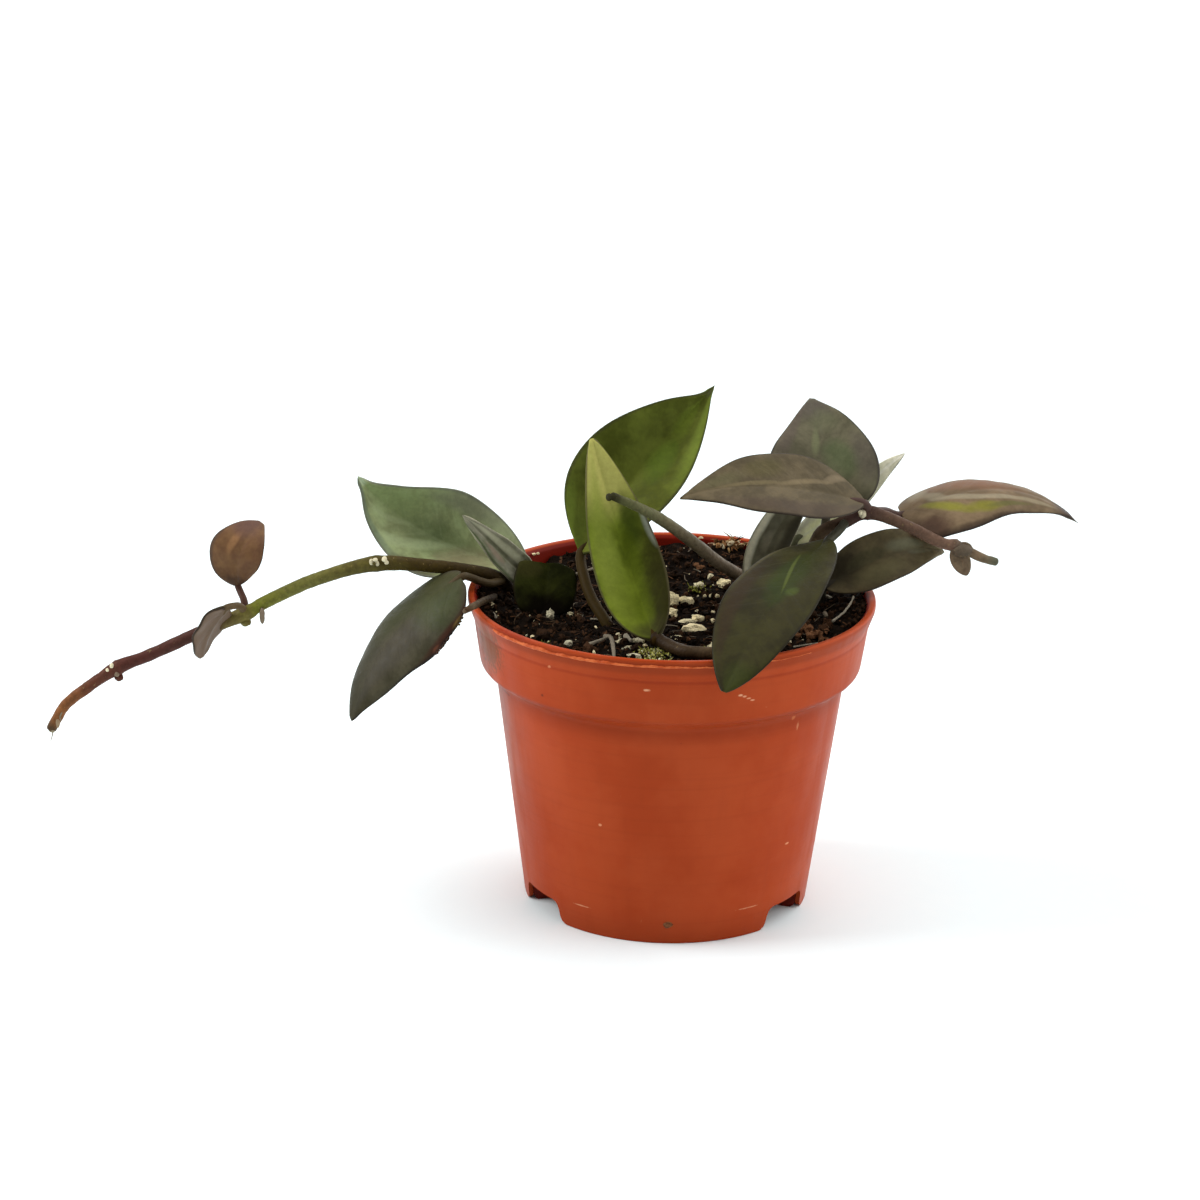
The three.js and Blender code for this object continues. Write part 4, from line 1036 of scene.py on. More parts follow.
def drain_tool(index):
    angle = 2 * math.pi * index / DRAIN_COUNT
    x, y = DRAIN_CIRCLE * math.cos(angle), DRAIN_CIRCLE * math.sin(angle)
    low, high = FLOOR_Z - DRAIN_MARGIN, FLOOR_Z + FLOOR_THICKNESS + DRAIN_MARGIN
    outline = [(0, low), (DRAIN_RADIUS, low), (DRAIN_RADIUS, high), (0, high)]
    points, faces = lathe(outline, DRAIN_SIDES)
    return points + (x, y, 0), faces


def tube_ring(radius, wall, low, high):
    """A closed round wall between two heights."""
    angles = np.linspace(0, 2 * np.pi, POT_SEGMENTS, endpoint=False)
    section = [(radius - wall, low), (radius, low), (radius, high), (radius - wall, high)]
    points = [(r * math.cos(a), r * math.sin(a), z) for r, z in section for a in angles]
    faces = []
    for i in range(4):
        for j in range(POT_SEGMENTS):
            k = (j + 1) % POT_SEGMENTS
            a, b = i * POT_SEGMENTS, (i + 1) % 4 * POT_SEGMENTS
            faces.append((a + j, a + k, b + k, b + j))
    return np.array(points), faces


def flash_line():
    """A ragged thread of plastic that the mould left under the lip, round the front."""
    azimuths, strengths = zip(*FLASH_STRENGTH)
    angles = np.radians(np.linspace(azimuths[0], azimuths[-1], FLASH_STEPS))
    rough = roughly(np.stack([angles * 14, 0 * angles, 0 * angles], axis=1), 1.0, 3.0)
    fine = roughly(np.stack([angles * 60, 0 * angles, 0 * angles], axis=1), 1.0, 9.0)
    radius = LIP_RADIUS - 0.02 + 0.05 * fine
    line = np.stack([radius * np.cos(angles), radius * np.sin(angles),
                     COLLAR_TOP_Z + 0.25 + 0.22 * rough + 0.1 * fine], axis=1)
    strength = np.interp(np.degrees(angles), azimuths, strengths)
    return tube(line, strength * (0.24 + 0.1 * rough + 0.1 * fine), 8)


def cut_away(piece, tools):
    """Cuts the tools' volumes out of the piece, one after the other."""
    for points, faces in tools:
        mesh = bpy.data.meshes.new("tool")
        places = (np.asarray(points, float) + POT_PLACE) * MM
        mesh.from_pydata([tuple(p) for p in places], [], [tuple(face) for face in faces])
        tool = add_object("tool", mesh)
        modifier = piece.modifiers.new("cut", "BOOLEAN")
        modifier.operation = "DIFFERENCE"
        modifier.solver = "EXACT"
        modifier.object = tool
        graph = bpy.context.evaluated_depsgraph_get()
        cut = bpy.data.meshes.new_from_object(piece.evaluated_get(graph))
        piece.modifiers.clear()
        old = piece.data
        piece.data = cut
        bpy.data.meshes.remove(old)
        bpy.data.objects.remove(tool)


# Marks on the pot: place, half sizes along x, y and z, colour and strength
POT_MARKS = [
    ((-24.7, -32.6, 61.3), (0.5, 0.5, 0.35), "#d98a60", 0.9),
    ((-15.7, -37.4, 62.8), (0.9, 0.6, 0.45), "#b27868", 0.55),
    # Painted shadow of the drooping leaf, on the collar's left
    ((-37.6, -16.5, 60.0), (5.0, 7.0, 6.0), "#65330f", 0.85),
    # Painted shade on the lip's outer face above the thread, at the front left
    ((-32.6, -27.3, 65.8), (7.0, 7.0, 0.5), "#86250d", 0.7),
    ((-5.4, -40.4, 59.4), (0.8, 0.6, 0.35), "#d99a74", 0.9),
    ((13.2, -38.3, 57.9), (0.5, 0.4, 0.3), "#dca07c", 0.9),
    ((14.0, -38.0, 57.5), (0.5, 0.4, 0.22), "#dca07c", 0.8),
    ((14.9, -37.7, 57.0), (0.5, 0.4, 0.2), "#d99a74", 0.8),
    ((15.8, -37.4, 56.5), (0.5, 0.5, 0.22), "#dca07c", 0.8),
    ((18.8, -36.0, 54.4), (0.45, 0.4, 0.3), "#e0a888", 0.9),
    ((24.5, -27.1, 49.2), (0.6, 0.6, 0.6), "#d97e4c", 0.8),
    ((25.6, -25.6, 46.8), (0.3, 0.3, 1.1), "#c98058", 0.7),
    ((-14.2, -30.4, 26.3), (0.45, 0.4, 0.3), "#d9946c", 0.8),
    ((24.5, -21.5, 19.2), (0.7, 0.7, 0.25), "#d9946c", 0.8),
    ((-17.6, -25.3, 6.1), (2.3, 2.0, 0.16), "#cd8a66", 0.8),
    ((16.6, -26.0, 6.6), (2.6, 2.2, 0.16), "#cd8a66", 0.7),
    ((-26.3, -30.5, 54.2), (0.45, 0.4, 0.35), "#5a2412", 0.8),
    ((-34.0, -13.0, 48.4), (1.6, 3.2, 0.35), "#6e2a14", 0.8),
    ((13.5, -31.2, 47.5), (0.4, 0.4, 0.3), "#d99a74", 0.6),
    ((3.0, -38.8, 53.6), (0.4, 0.4, 0.25), "#d0855c", 0.6),
    ((-30.0, -9.8, 21.0), (0.35, 0.5, 0.3), "#7c351c", 0.6),
    ((27.2, -14.6, 9.6), (0.5, 0.5, 0.4), "#7c351c", 0.6),
    ((0.1, -30.7, 8.8), (0.6, 0.6, 0.45), "#83371a", 0.7),
    ((0.1, -30.7, 4.5), (1.0, 0.8, 0.75), "#7d5a33", 0.9)]


def pot_material():
    graph = Graph("pot_plastic")
    point = graph.place()
    # The object's point counts from the scene's origin, so the pot's own place is taken off
    own = graph.vector("SUBTRACT", point, tuple(POT_PLACE))
    x, y, z = graph.node("ShaderNodeSeparateXYZ", own).outputs
    cloud = graph.noise(point, 18, 4, 0.6)
    grain = graph.noise(point, 0.5, 4, 0.6)
    colour = graph.blend(graph.step(cloud, 0.35, 0.65), "#9f3a15", "#a7421d")
    rings = graph.noise(graph.place((60, 60, 1)), 0.8, 2)
    colour = graph.stain(colour, rings, 0.5, 0.75, 0.1, "#7f2f12")
    drips = graph.noise(graph.place((1, 1, 14)), 2.2, 3, 0.5)
    colour = graph.stain(colour, drips, 0.5, 0.75, 0.12, "#8a3514")
    specks = graph.noise(point, 0.9, 2, 0.5)
    colour = graph.stain(colour, specks, 0.76, 0.79, 0.35, "#6a2a14")
    dust = graph.noise(graph.place((1, 1, 2.5)), 1.6, 3, 0.65)
    colour = graph.stain(colour, dust, 0.72, 0.8, 0.25, "#c98a68")
    # Darker towards the foot
    low_darkening = graph.math("MULTIPLY", graph.step(z, 9.0, 0.0, 0.0, 0.3), cloud)
    colour = graph.blend(low_darkening, colour, "#5e2410")

    wander = graph.math("MULTIPLY_ADD", graph.noise(point, 0.8, 3), 1.4, -0.7)
    for centre, halves, tint, strength in POT_MARKS:
        scale = tuple(1 / half for half in halves)
        shift = graph.vector("MULTIPLY", graph.vector("SUBTRACT", own, centre), scale)
        far = graph.math("ADD", graph.length(shift), wander)
        colour = graph.stain(colour, far, 1.2, 0.5, strength, tint)

    # The lip's face and the ledge under the collar stand a little in the shade
    lip = graph.math("MULTIPLY", graph.step(z, 62.4, 63.6), graph.step(z, 65.9, 65.4, 0.0, 0.55))
    colour = graph.blend(lip, colour, "#7d2f13")
    ledge = graph.math("MULTIPLY", graph.step(z, 45.0, 49.0), graph.step(z, 52.6, 51.8, 0.0, 0.4))
    colour = graph.blend(ledge, colour, "#752408")

    # Inside, over the soil, the plastic stays in the shade and looks a deeper red
    radius = graph.length(graph.gather(x, y))
    inside = graph.math("MULTIPLY", graph.step(radius, 41.3, 41.0), graph.step(z, 60.5, 61.5))
    colour = graph.blend(inside, colour, "#74190b")

    wipes = graph.noise(graph.place((3, 3, 12)), 1.5, 3, 0.6)
    roughness = graph.step(wipes, 0.3, 0.7, 0.36, 0.5)
    relief = graph.bump(graph.math("MULTIPLY_ADD", grain, 0.3, rings), 0.03)
    return graph.finish(colour, roughness, 0.07, relief)


def plastic(name, dark, light, grain):
    """Plain plastic of the pot's kind for its small parts, in the colours given; some of these are
    painted shade or a painted highlight.
    """
    graph = Graph(name)
    cloud = graph.noise(graph.place(), grain, 3)
    colour = graph.blend(graph.step(cloud, 0.35, 0.65), dark, light)
    roughness = graph.step(cloud, 0.3, 0.7, 0.4, 0.55)
    return graph.finish(colour, roughness, 0.12, graph.bump(cloud, 0.03))


def make_pot():
    material = pot_material()
    points, faces = lathe(pot_outline(), POT_SEGMENTS)
    pot = make_piece("pot_shell", points, faces, material, "pot", "pot")
    cut_away(pot, [arch_tool(azimuth) for azimuth in ARCH_AZIMUTHS]
             + [drain_tool(index) for index in range(DRAIN_COUNT)])
    pot.data.polygons.foreach_set("use_smooth", [True] * len(pot.data.polygons))
    pot.data.set_sharp_from_angle(angle=math.radians(POT_SHARP))

    # The low ring under the floor, behind the arches, in a near-black red: painted shade
    ring = tube_ring(RING_RADIUS, RING_WALL, RING_BOTTOM_Z, FLOOR_Z)
    shaded = plastic("pot_shade", "#2c0a05", "#3f1108", 2.0)
    make_piece("pot_ring", *ring, shaded, "pot", sharp=POT_SHARP)

    # The walls that close the feet beside the gaps are a dark red: painted shade under the pot
    walls = Bundle()
    for azimuth in ARCH_AZIMUTHS:
        for side in (-1, 1):
            walls.add(*foot_wall(azimuth + side * ARCH_END))
    walls.piece("pot_feet", plastic("pot_foot_shade", "#4f1208", "#6e1c0d", 2.0), "pot", smooth=False)

    # The thread's plastic is a lighter orange than the pot's: a painted highlight, where it catches
    # the light
    thread = plastic("pot_thread_highlight", "#b34b22", "#cf6a3a", 1.5)
    make_piece("pot_flash", *flash_line(), thread, "pot")

    # The stub that the mould left at the front of the foot
    stream = random.Random(SEEDS["gate"])
    points, faces = lumpy_ball(stream, (0.9, 0.4, 0.75), 2, 0.3, turned=False)
    stub = plastic("pot_stub", "#5a3018", "#7d5030", 0.6)
    make_piece("pot_gate", points + GATE_PLACE, faces, stub, "pot")


# Soil: a dark uneven bed with crumbs, bark, perlite, rootlets and moss

SOIL_Z = 62.5
SOIL_RADIUS = 39.7
SOIL_UNEVENNESS = 0.7
HEAP_HEIGHT = 2.3
# Smaller heaps against the wall: middle, spread along x and y, and height.
# The side ones hide the inner wall under dark soil, as painted shade
SIDE_HEAPS = [(-38.5, 7, 4.5, 13, 2.7), (-22, 33, 8, 5, 1.6), (38.5, 4, 4.5, 14, 2.6)]
SOIL_GAP = 0.5
SOIL_RINGS = 84
SOIL_SPOKES = 220


def soil_height(x, y):
    """Height of the soil's surface: a few gentle waves, and a heap at the back."""
    long = np.sin(x * 0.31 + 1.3) * np.cos(y * 0.27 - 0.6)
    short = np.sin(x * 0.83 - y * 0.41) * np.cos(y * 0.77 + x * 0.29)
    heap = HEAP_HEIGHT * np.exp(-((x - 9) / 15) ** 4) / (1 + np.exp((31 - y) / 2.5))
    for middle_x, middle_y, spread_x, spread_y, height in SIDE_HEAPS:
        way = ((x - middle_x) / spread_x) ** 2 + ((y - middle_y) / spread_y) ** 2
        heap = heap + height * np.exp(-way)
    return SOIL_Z + SOIL_UNEVENNESS * (0.6 * long + 0.4 * short) + heap


def soil_material(name, dark, light, bits, grain=2.5):
    graph = Graph(name)
    point = graph.place()
    tone = graph.attribute("tone")
    cloud = graph.noise(point, grain, 5, 0.65)
    fine = graph.noise(point, 0.35, 4, 0.7)
    colour = graph.blend(graph.step(cloud, 0.35, 0.68), dark, light)
    colour = graph.stain(colour, fine, 0.6, 0.75, 0.5, bits)
    colour = graph.blend(tone, colour, bits)
    relief = graph.bump(graph.math("ADD", cloud, fine), 0.35)
    roughness = graph.step(fine, 0.3, 0.7, 0.7, 0.95)
    return graph.finish(colour, roughness, 0.04, relief)


def make_soil_bed():
    bottom = FLOOR_Z + FLOOR_THICKNESS + 0.3
    gap = POT_WALL + SOIL_GAP
    outline = [(0, bottom), (body_radius(bottom) - gap, bottom),
               (BODY_TOP_RADIUS - gap, BODY_TOP_Z), (BODY_TOP_RADIUS - gap, BODY_TOP_Z + 1.5),
               (COLLAR_BOTTOM_RADIUS - gap, COLLAR_BOTTOM_Z + 1.5), (SOIL_RADIUS, SOIL_Z - 2)]
    radii = SOIL_RADIUS * np.sqrt(np.linspace(1, 0, SOIL_RINGS + 1))
    outline += [(r, SOIL_Z) for r in radii]
    points, faces = lathe(outline, SOIL_SPOKES)
    top = points[:, 2] > SOIL_Z - 0.01
    x, y = points[top, 0], points[top, 1]
    flat = np.stack([x, y, np.zeros(len(x))], axis=1)
    rough = 0.7 * roughly(flat, 3.1) + 0.5 * roughly(flat, 1.3, 3.0) + 0.3 * roughly(flat, 0.6, 7.0)
    points[top, 2] = soil_height(x, y) + rough
    material = soil_material("soil_mix", "#090401", "#180f08", "#33241a")
    tone = np.zeros(len(points))
    make_piece("soil_bed", points, faces, material, "soil", "soil", {"tone": tone})


def on_soil(x, y):
    return float(soil_height(x, y))


def anywhere(stream, reach=SOIL_RADIUS - 1):
    """A random place on the soil."""
    angle = stream.random() * 2 * math.pi
    radius = math.sqrt(stream.random()) * reach
    return radius * math.cos(angle), radius * math.sin(angle)


def scatter(bundle, stream, count, smallest, largest, level, tones):
    """Drops irregular crumbs on the soil, small ones more often than large ones."""
    for _ in range(count):
        x, y = anywhere(stream)
        size = smallest + (largest - smallest) * stream.random() ** 2.5
        shape = (size, size * stream.uniform(0.55, 1), size * stream.uniform(0.45, 0.9))
        points, faces = lumpy_ball(stream, shape, level, 0.35)
        z = on_soil(x, y) + size * stream.uniform(0.0, 0.5)
        bundle.add(points + (x, y, z), faces, tone=stream.choice(tones))


# Crumbs: count, smallest and largest half size, ball level, and tones from dark to pale
CRUMBS = [(3400, 0.16, 0.85, 1, [0.0, 0.0, 0.03, 0.07, 0.14, 0.2, 0.34]),
          (420, 0.5, 1.35, 2, [0.0, 0.03, 0.07, 0.14, 0.25]), (160, 0.12, 0.35, 1, [0.8, 1.0])]
SPLINTERS = 420
RIM_DIRT_AND_SHADE = 260
BARK_BITS = 5
# Lumps of red-brown bark: place on the soil and half sizes
BARK = [
    (26.8, -13.7, 2.6, 1.7, 1.4), (28.7, -16.4, 2.0, 1.6, 1.3), (30.6, -18.2, 1.3, 1.1, 0.9),
    (25.2, -16.6, 1.1, 0.8, 0.9), (31.4, -14.0, 0.9, 0.8, 0.7), (2.6, -21.2, 0.8, 0.8, 0.8),
    (-30, 20, 1.6, 1.0, 0.8), (6, 27, 1.4, 1.0, 0.8), (-12, 6, 1.5, 1.0, 0.8)]


def make_crumbs():
    stream = random.Random(SEEDS["crumbs"])
    bundle = Bundle("tone")
    for crumbs in CRUMBS:
        scatter(bundle, stream, *crumbs)
    for _ in range(SPLINTERS):
        x, y = anywhere(stream)
        length = stream.uniform(0.6, 2.4)
        points, faces = lumpy_ball(stream, (length, length * 0.18, length * 0.1), 1, 0.25)
        bundle.add(points * (1, 1, 0.45) + (x, y, on_soil(x, y) + 0.35), faces,
                   tone=stream.choice([0.07, 0.2, 0.35, 0.6]))
    for x, y, *half in BARK:
        for _ in range(BARK_BITS):
            px, py = stream.gauss(x, half[0] * 0.35), stream.gauss(y, half[1] * 0.35)
            shape = [h * stream.uniform(0.35, 0.7) for h in half]
            points, faces = lumpy_ball(stream, shape, 2, 0.3)
            z = on_soil(px, py) + half[2] * stream.uniform(0.3, 0.8)
            bundle.add(points + (px, py, z), faces, tone=stream.choice([0.7, 0.85, 1.0]))
    # Dark crumbs against the inner edge of the rim, at its sides: dirt, and painted shade over the
    # inner wall there
    for _ in range(RIM_DIRT_AND_SHADE):
        angle = math.radians(stream.choice([stream.uniform(158, 212), stream.uniform(-22, 26)]))
        radius, size = stream.uniform(38.8, 40.7), stream.uniform(0.3, 0.7)
        points, faces = lumpy_ball(stream, (size, size * 0.7, size * 0.6), 1, 0.35)
        centre = (radius * math.cos(angle), radius * math.sin(angle), stream.uniform(64.2, 65.5))
        bundle.add(points + centre, faces, tone=stream.choice([0.0, 0.05, 0.15]))
    material = soil_material("soil_crumbs", "#0b0603", "#1d130b", "#745036", 1.2)
    bundle.piece("soil_crumbs", material, "soil", smooth=False)


# Pale grains that stand out: place on the soil, half sizes, and tone from cream to grey-green
PERLITE = [
    (0.3, 2.0, 1.3, 1.0, 1.6, 0.1), (2.9, 2.9, 1.35, 1.1, 1.1, 0.2),
    (-0.2, -3.1, 1.15, 0.9, 0.9, 0.1), (4.3, -13.4, 2.1, 1.2, 1.1, 0.1),
    (3.5, -7.9, 1.5, 0.7, 0.5, 0.4), (5.4, -6.3, 1.0, 0.8, 0.8, 0.0),
    (6.1, 14.5, 1.05, 0.9, 0.8, 0.6), (11.4, 14.6, 1.1, 0.9, 1.0, 0.1),
    (8.8, 21.5, 0.6, 0.5, 0.7, 0.6), (7.2, 8.6, 0.35, 0.3, 0.35, 0.1),
    (8.5, 8.0, 0.4, 0.35, 0.4, 0.0), (9.7, 7.7, 0.45, 0.4, 0.4, 0.0),
    (5.3, -0.9, 0.3, 0.3, 0.3, 0.2), (8.6, -2.4, 0.4, 0.35, 0.35, 0.2),
    (4.4, -4.8, 0.35, 0.3, 0.3, 0.3), (8.4, -8.8, 0.4, 0.4, 0.4, 0.2),
    (0.6, -19.3, 1.0, 0.8, 0.4, 0.5), (7.6, -26.4, 0.7, 0.7, 1.3, 0.5),
    (-5.7, -23.0, 0.4, 0.4, 0.4, 0.1), (-25.2, -7.1, 0.7, 0.6, 1.0, 0.8),
    (-28.5, -18.6, 0.5, 0.5, 0.4, 0.2), (-27.5, -23.6, 0.6, 0.5, 0.5, 0.3),
    (-37.5, -3.7, 0.5, 0.5, 0.5, 0.2), (-11, -17.6, 0.55, 0.5, 0.4, 0.5),
    (-21.5, -1.6, 0.7, 0.5, 0.45, 0.5), (-21.1, -4.6, 0.6, 0.5, 0.45, 0.5),
    (-19.3, -6.0, 0.5, 0.5, 0.4, 0.5), (-8.8, -24.2, 0.9, 0.5, 0.4, 0.7),
    (-8.4, -31.7, 1.6, 0.6, 0.5, 0.8), (-21.1, -23.8, 0.7, 0.6, 0.6, 0.9),
    (-10.4, -20.4, 0.9, 0.6, 0.5, 0.7), (-7.0, -20.6, 1.2, 0.7, 0.6, 0.8),
    (-3.2, -26.4, 0.5, 0.5, 0.4, 0.3), (-17.2, -33.5, 0.4, 0.4, 0.3, 0.3),
    (-33, 21, 1.0, 0.8, 0.8, 0.2), (24, 24, 0.9, 0.8, 0.7, 0.2), (16.5, -33, 0.8, 0.6, 0.5, 0.3),
    (13.2, -35, 0.6, 0.5, 0.5, 0.2), (-14, 22, 0.9, 0.8, 0.7, 0.2)]
PERLITE_DUST = 110
# Bits that stick to the rim: place and half sizes
RIM_BITS = [
    ((-29.4, 27.3, 65.4), (0.5, 0.3, 0.35)), ((-28.5, 28.2, 65.3), (0.35, 0.25, 0.3)),
    ((7.0, 39.6, 65.9), (0.6, 0.3, 0.35)), ((-3.6, 39.4, 65.2), (0.35, 0.3, 0.3))]


def perlite_material():
    graph = Graph("perlite")
    point = graph.place()
    cloud = graph.noise(point, 1.0, 3)
    tone = graph.attribute("tone")
    colour = graph.blend(tone, "#ffedbb", "#aeaa92")
    colour = graph.stain(colour, cloud, 0.55, 0.75, 0.3, "#c4ae78")
    pits = graph.cells(point, 0.3)
    colour = graph.stain(colour, pits, 0.15, 0.05, 0.3, "#8d7a50")
    relief = graph.bump(graph.math("ADD", pits, cloud), 0.25)
    roughness = graph.step(cloud, 0.3, 0.7, 0.75, 0.95)
    return graph.finish(colour, roughness, 0.3, relief)


def make_perlite():
    stream = random.Random(SEEDS["perlite"])
    bundle = Bundle("tone")
    for x, y, a, b, c, tone in PERLITE:
        points, faces = lumpy_ball(stream, (a * 1.2, b * 1.1, c * 1.2), 2, 0.3, turned=False)
        bundle.add(points + (x, y, on_soil(x, y) + c * 0.55 + 0.1), faces, tone=tone)
    for centre, half in RIM_BITS:
        points, faces = lumpy_ball(stream, half, 1, 0.3, turned=False)
        bundle.add(points + centre, faces, tone=0.2)
    for _ in range(PERLITE_DUST):
        x, y = anywhere(stream, SOIL_RADIUS - 1.5)
        size = 0.12 + 0.35 * stream.random() ** 2
        points, faces = lumpy_ball(stream, (size, size * 0.8, size * 0.7), 1, 0.35)
        z = on_soil(x, y) + size * 0.5 + 0.25
        bundle.add(points + (x, y, z), faces, tone=stream.random() ** 2)
    bundle.piece("soil_perlite", perlite_material(), "soil", smooth=False)


# Rootlets and twigs that lie on the soil: points as x, y and height over it, then radius, tone
ROOTLETS = [
    ([(-17.2, -25.0, 0.5), (-15.3, -23.9, 1.0), (-13.2, -22.3, 1.5)], 0.45, 0.4),
    ([(-13.8, -21.6, 1.5), (-12.6, -22.8, 1.6), (-12.2, -26, 1.2), (-12, -31, 0.8),
      (-11.9, -33.5, 0.4)], 0.5, 0.35),
    ([(-9.6, -19, 1.0), (-8.5, -21.9, 0.8)], 0.6, 0.55),
    ([(-16.7, -7.5, 0.6), (-14.3, -8.6, 0.5)], 0.25, 0.5),
    ([(-37, -7.7, 0.8), (-35.4, -12.6, 0.6)], 0.35, 0.4),
    ([(30.8, 6.7, 1.2), (32.4, 5.6, 1.5), (33.5, 3.8, 1.2)], 0.55, 1.0),
    ([(31.7, -5.2, 1.2), (32.0, -7.4, 0.9)], 0.5, 0.2),
    ([(33, -10.2, 1.0), (35.4, -7, 1.3), (37.2, -3.2, 1.6), (37.8, -1.6, 2.0)], 0.28, 0.55),
    ([(24.4, -23.8, 0.5), (29.4, -20.8, 0.7)], 0.2, 0.6),
    ([(5, 36, 0.6), (6.3, 32.5, 1.2)], 0.6, 0.5),
    ([(-20, 20, 1.0), (-14, 24, 1.4), (-9, 23, 1.0)], 0.35, 0.4)]
LOOSE_ROOTLETS = 120


def make_rootlets():
    stream = random.Random(SEEDS["rootlets"])
    bundle = Bundle("tone")
    for route, radius, tone in ROOTLETS:
        lifted = [(x, y, on_soil(x, y) + h) for x, y, h in route]
        line, _ = smooth_route(lifted, (len(route) - 1) * 8)
        radii = radius * np.linspace(1, 0.6, len(line))
        bundle.add(*tube(line, radii, 8, lumps=0.12, lump_grain=0.8), tone=tone)
    for _ in range(LOOSE_ROOTLETS):
        x, y = anywhere(stream, SOIL_RADIUS - 4)
        turn = stream.random() * math.pi
        length = stream.uniform(1, 3.5)
        bend = stream.uniform(-0.9, 0.9)
        route = []
        for t in (-0.5, 0, 0.5):
            px = x + length * t * math.cos(turn + bend * t)
            py = y + length * t * math.sin(turn + bend * t)
            route.append((px, py, on_soil(px, py) + 0.4 + 0.4 * stream.random()))
        line, _ = smooth_route(route, 8)
        radii = np.full(len(line), stream.uniform(0.05, 0.14))
        bundle.add(*tube(line, radii, 5), tone=stream.choice([0.0, 0.05, 0.15, 0.35]))
    material = soil_material("rootlets", "#3a2b1c", "#524130", "#b8b09c", 1.0)
    bundle.piece("soil_rootlets", material, "soil")


# Moss tufts: middle on the soil, spread and number of sprigs, and how yellow they are
MOSS = [
    (-3.9, -28.5, 3.4, 200, 0.6), (-4.0, -33.5, 2.6, 110, 0.6), (7.1, -27.7, 1.9, 90, 0.6),
    (-26.7, -24, 2.2, 60, 0.2), (5.6, 12.8, 2.6, 60, 0.4), (-31, 22, 3.0, 50, 0.2)]


def moss_material(name, grain, stops, dark, shade_from, shade):
    graph = Graph(name)
    fine = graph.noise(graph.place(), grain, 3)
    colour = graph.ramp(graph.attribute("tone"), stops)
    colour = graph.stain(colour, fine, shade_from, 0.7, shade, dark)
    roughness = graph.step(fine, 0.3, 0.7, 0.8, 0.95)
    return graph.finish(colour, roughness, 0.2, graph.bump(fine, 0.2))


def make_moss():
    stream = random.Random(SEEDS["moss"])
    bundle = Bundle("tone")
    for x, y, spread, count, yellow in MOSS:
        for _ in range(count):
            px, py = stream.gauss(x, spread * 0.5), stream.gauss(y, spread * 0.35)
            if math.hypot(px, py) > SOIL_RADIUS - 0.5:
                continue
            lift = on_soil(px, py) + stream.uniform(0.1, 0.9)
            tone = min(1, max(0, stream.gauss(yellow, 0.3)))
            if stream.random() < 0.5:
                size = stream.uniform(0.15, 0.4)
                points, faces = lumpy_ball(stream, (size, size * 0.6, size * 0.8), 1, 0.4)
                bundle.add(points + (px, py, lift), faces, tone=tone)
            else:
                lean = [stream.gauss(0, 0.5), stream.gauss(0, 0.5), stream.uniform(0.3, 1.0)]
                line = np.array([px, py, lift - 0.3]) + np.outer(np.linspace(0, 1.2, 5), lean)
                bundle.add(*tube(line, np.linspace(0.13, 0.04, 5), 5), tone=tone)
    stops = [(0.0, "#33350f"), (0.45, "#7a7a24"), (0.8, "#b9b466"), (1.0, "#d6d2b0")]
    bundle.piece("soil_moss", moss_material("moss", 0.4, stops, "#2a2411", 0.5, 0.4), "soil")


LITTER_PLACE = (13.2, 37.2, 65.0)
LITTER_STRANDS = 44
LITTER_SCRAPS = 34


def make_litter():
    """A tuft of dry moss and leaf scraps that leans on the back of the rim."""
    stream = random.Random(SEEDS["litter"])
    bundle = Bundle("tone")
    for _ in range(LITTER_STRANDS):
        root = np.array(LITTER_PLACE) + [stream.gauss(0, 1.7), stream.gauss(-0.5, 0.8),
                                         stream.uniform(-0.6, 0.4)]
        lean = np.array([stream.gauss(0, 0.7), stream.gauss(0, 0.35), stream.uniform(0.6, 1.2)])
        bow = np.array([stream.gauss(0, 0.5), stream.gauss(0, 0.3), -stream.uniform(0.1, 0.5)])
        t = np.linspace(0, 1, 8)[:, None]
        line = root + (lean * t + bow * t ** 2) * stream.uniform(1.4, 3.4)
        radii = np.linspace(stream.uniform(0.14, 0.4), 0.06, 8)
        bundle.add(*tube(line, radii, 6, flat=0.5), tone=stream.random())
    for _ in range(LITTER_SCRAPS):
        place = np.array(LITTER_PLACE) + [stream.gauss(0, 1.8), stream.gauss(-1, 0.8),
                                          stream.uniform(-0.6, 1.2)]
        size = stream.uniform(0.6, 1.4)
        points, faces = lumpy_ball(stream, (size, size * 0.6, size * 0.14), 2, 0.25)
        bundle.add(points + place, faces, tone=stream.random())
    stops = [(0.0, "#4a2e18"), (0.4, "#8a5c34"), (0.7, "#b08c5c"), (1.0, "#e0d2ae")]
    bundle.piece("soil_litter", moss_material("dry_moss", 0.5, stops, "#24180c", 0.45, 0.5), "soil")


def make_soil():
    make_soil_bed()
    make_crumbs()
    make_perlite()
    make_rootlets()
    make_moss()
    make_litter()


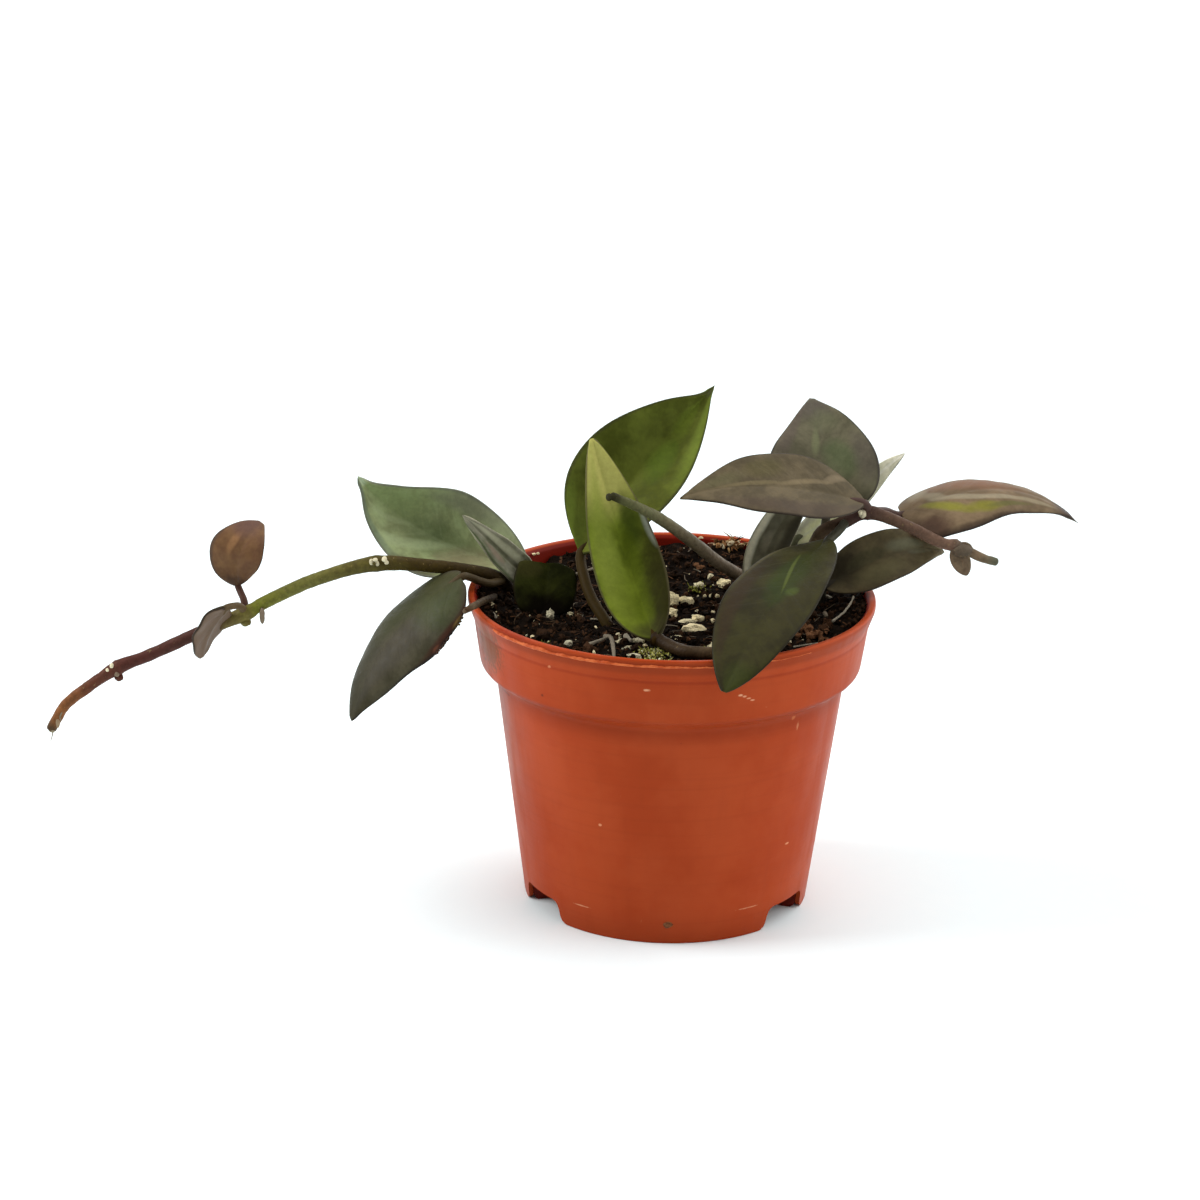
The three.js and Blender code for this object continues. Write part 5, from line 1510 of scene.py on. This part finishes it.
# Studio: a white table, light from all round but the camera's side, and a soft lamp at the left

FLOOR_SIZE = 6000
KEY_PLACE = (-900, 0, 650)
KEY_SIZE = 600
KEY_POWER = 10.0
KEY_AIM_HEIGHT = 50
SKY_STRENGTH = 1.38
SKY_TO_RIGHT = 0.95
SKY_TO_TOP = 0.05
SKY_FRONT = 0.2
# How far to the front and to the back the sky changes from one strength to the other
SKY_FADE = (-0.9, 0.1)


def make_world():
    graph = Graph("studio", "worlds")
    way = graph.node("ShaderNodeTexCoord").outputs["Generated"]
    x, y, z = graph.node("ShaderNodeSeparateXYZ", way).outputs
    around = graph.math("MULTIPLY_ADD", x, SKY_TO_RIGHT, 1.0)
    around = graph.math("MULTIPLY_ADD", z, SKY_TO_TOP, around)
    light = graph.math("MULTIPLY", around, graph.step(y, *SKY_FADE, SKY_FRONT, 1.0))
    light = graph.math("MULTIPLY", light, SKY_STRENGTH)
    background = graph.tree.nodes["Background"]
    background.inputs["Color"].default_value = (1, 1, 1, 1)
    graph.put(light, background.inputs["Strength"])
    bpy.context.scene.world = graph.owner


def make_studio():
    half = FLOOR_SIZE / 2 * MM
    mesh = bpy.data.meshes.new("floor")
    mesh.from_pydata([(-half, -half, 0), (half, -half, 0), (half, half, 0), (-half, half, 0)], [],
                     [(0, 1, 2, 3)])
    graph = Graph("floor_paper")
    fine = graph.noise(graph.place(), 4, 2)
    colour = graph.blend(fine, "#f0fbfd", "#f3fdfe")
    mesh.materials.append(graph.finish(colour, 0.9, 0.1))
    floor = add_object("floor", mesh)

    data = bpy.data.lights.new("key", "AREA")
    data.size = KEY_SIZE * MM
    data.energy = KEY_POWER
    key = add_object("key", data)
    place = Vector(KEY_PLACE) * MM
    aim = Vector(POT_PLACE) * MM + Vector((0, 0, KEY_AIM_HEIGHT * MM))
    key.location = place
    key.rotation_euler = (aim - place).to_track_quat("-Z", "Y").to_euler()
    bpy.context.scene.view_settings.view_transform = "Standard"


make_camera()
make_world()
make_studio()
make_pot()
make_soil()
make_stems()
make_leaves()
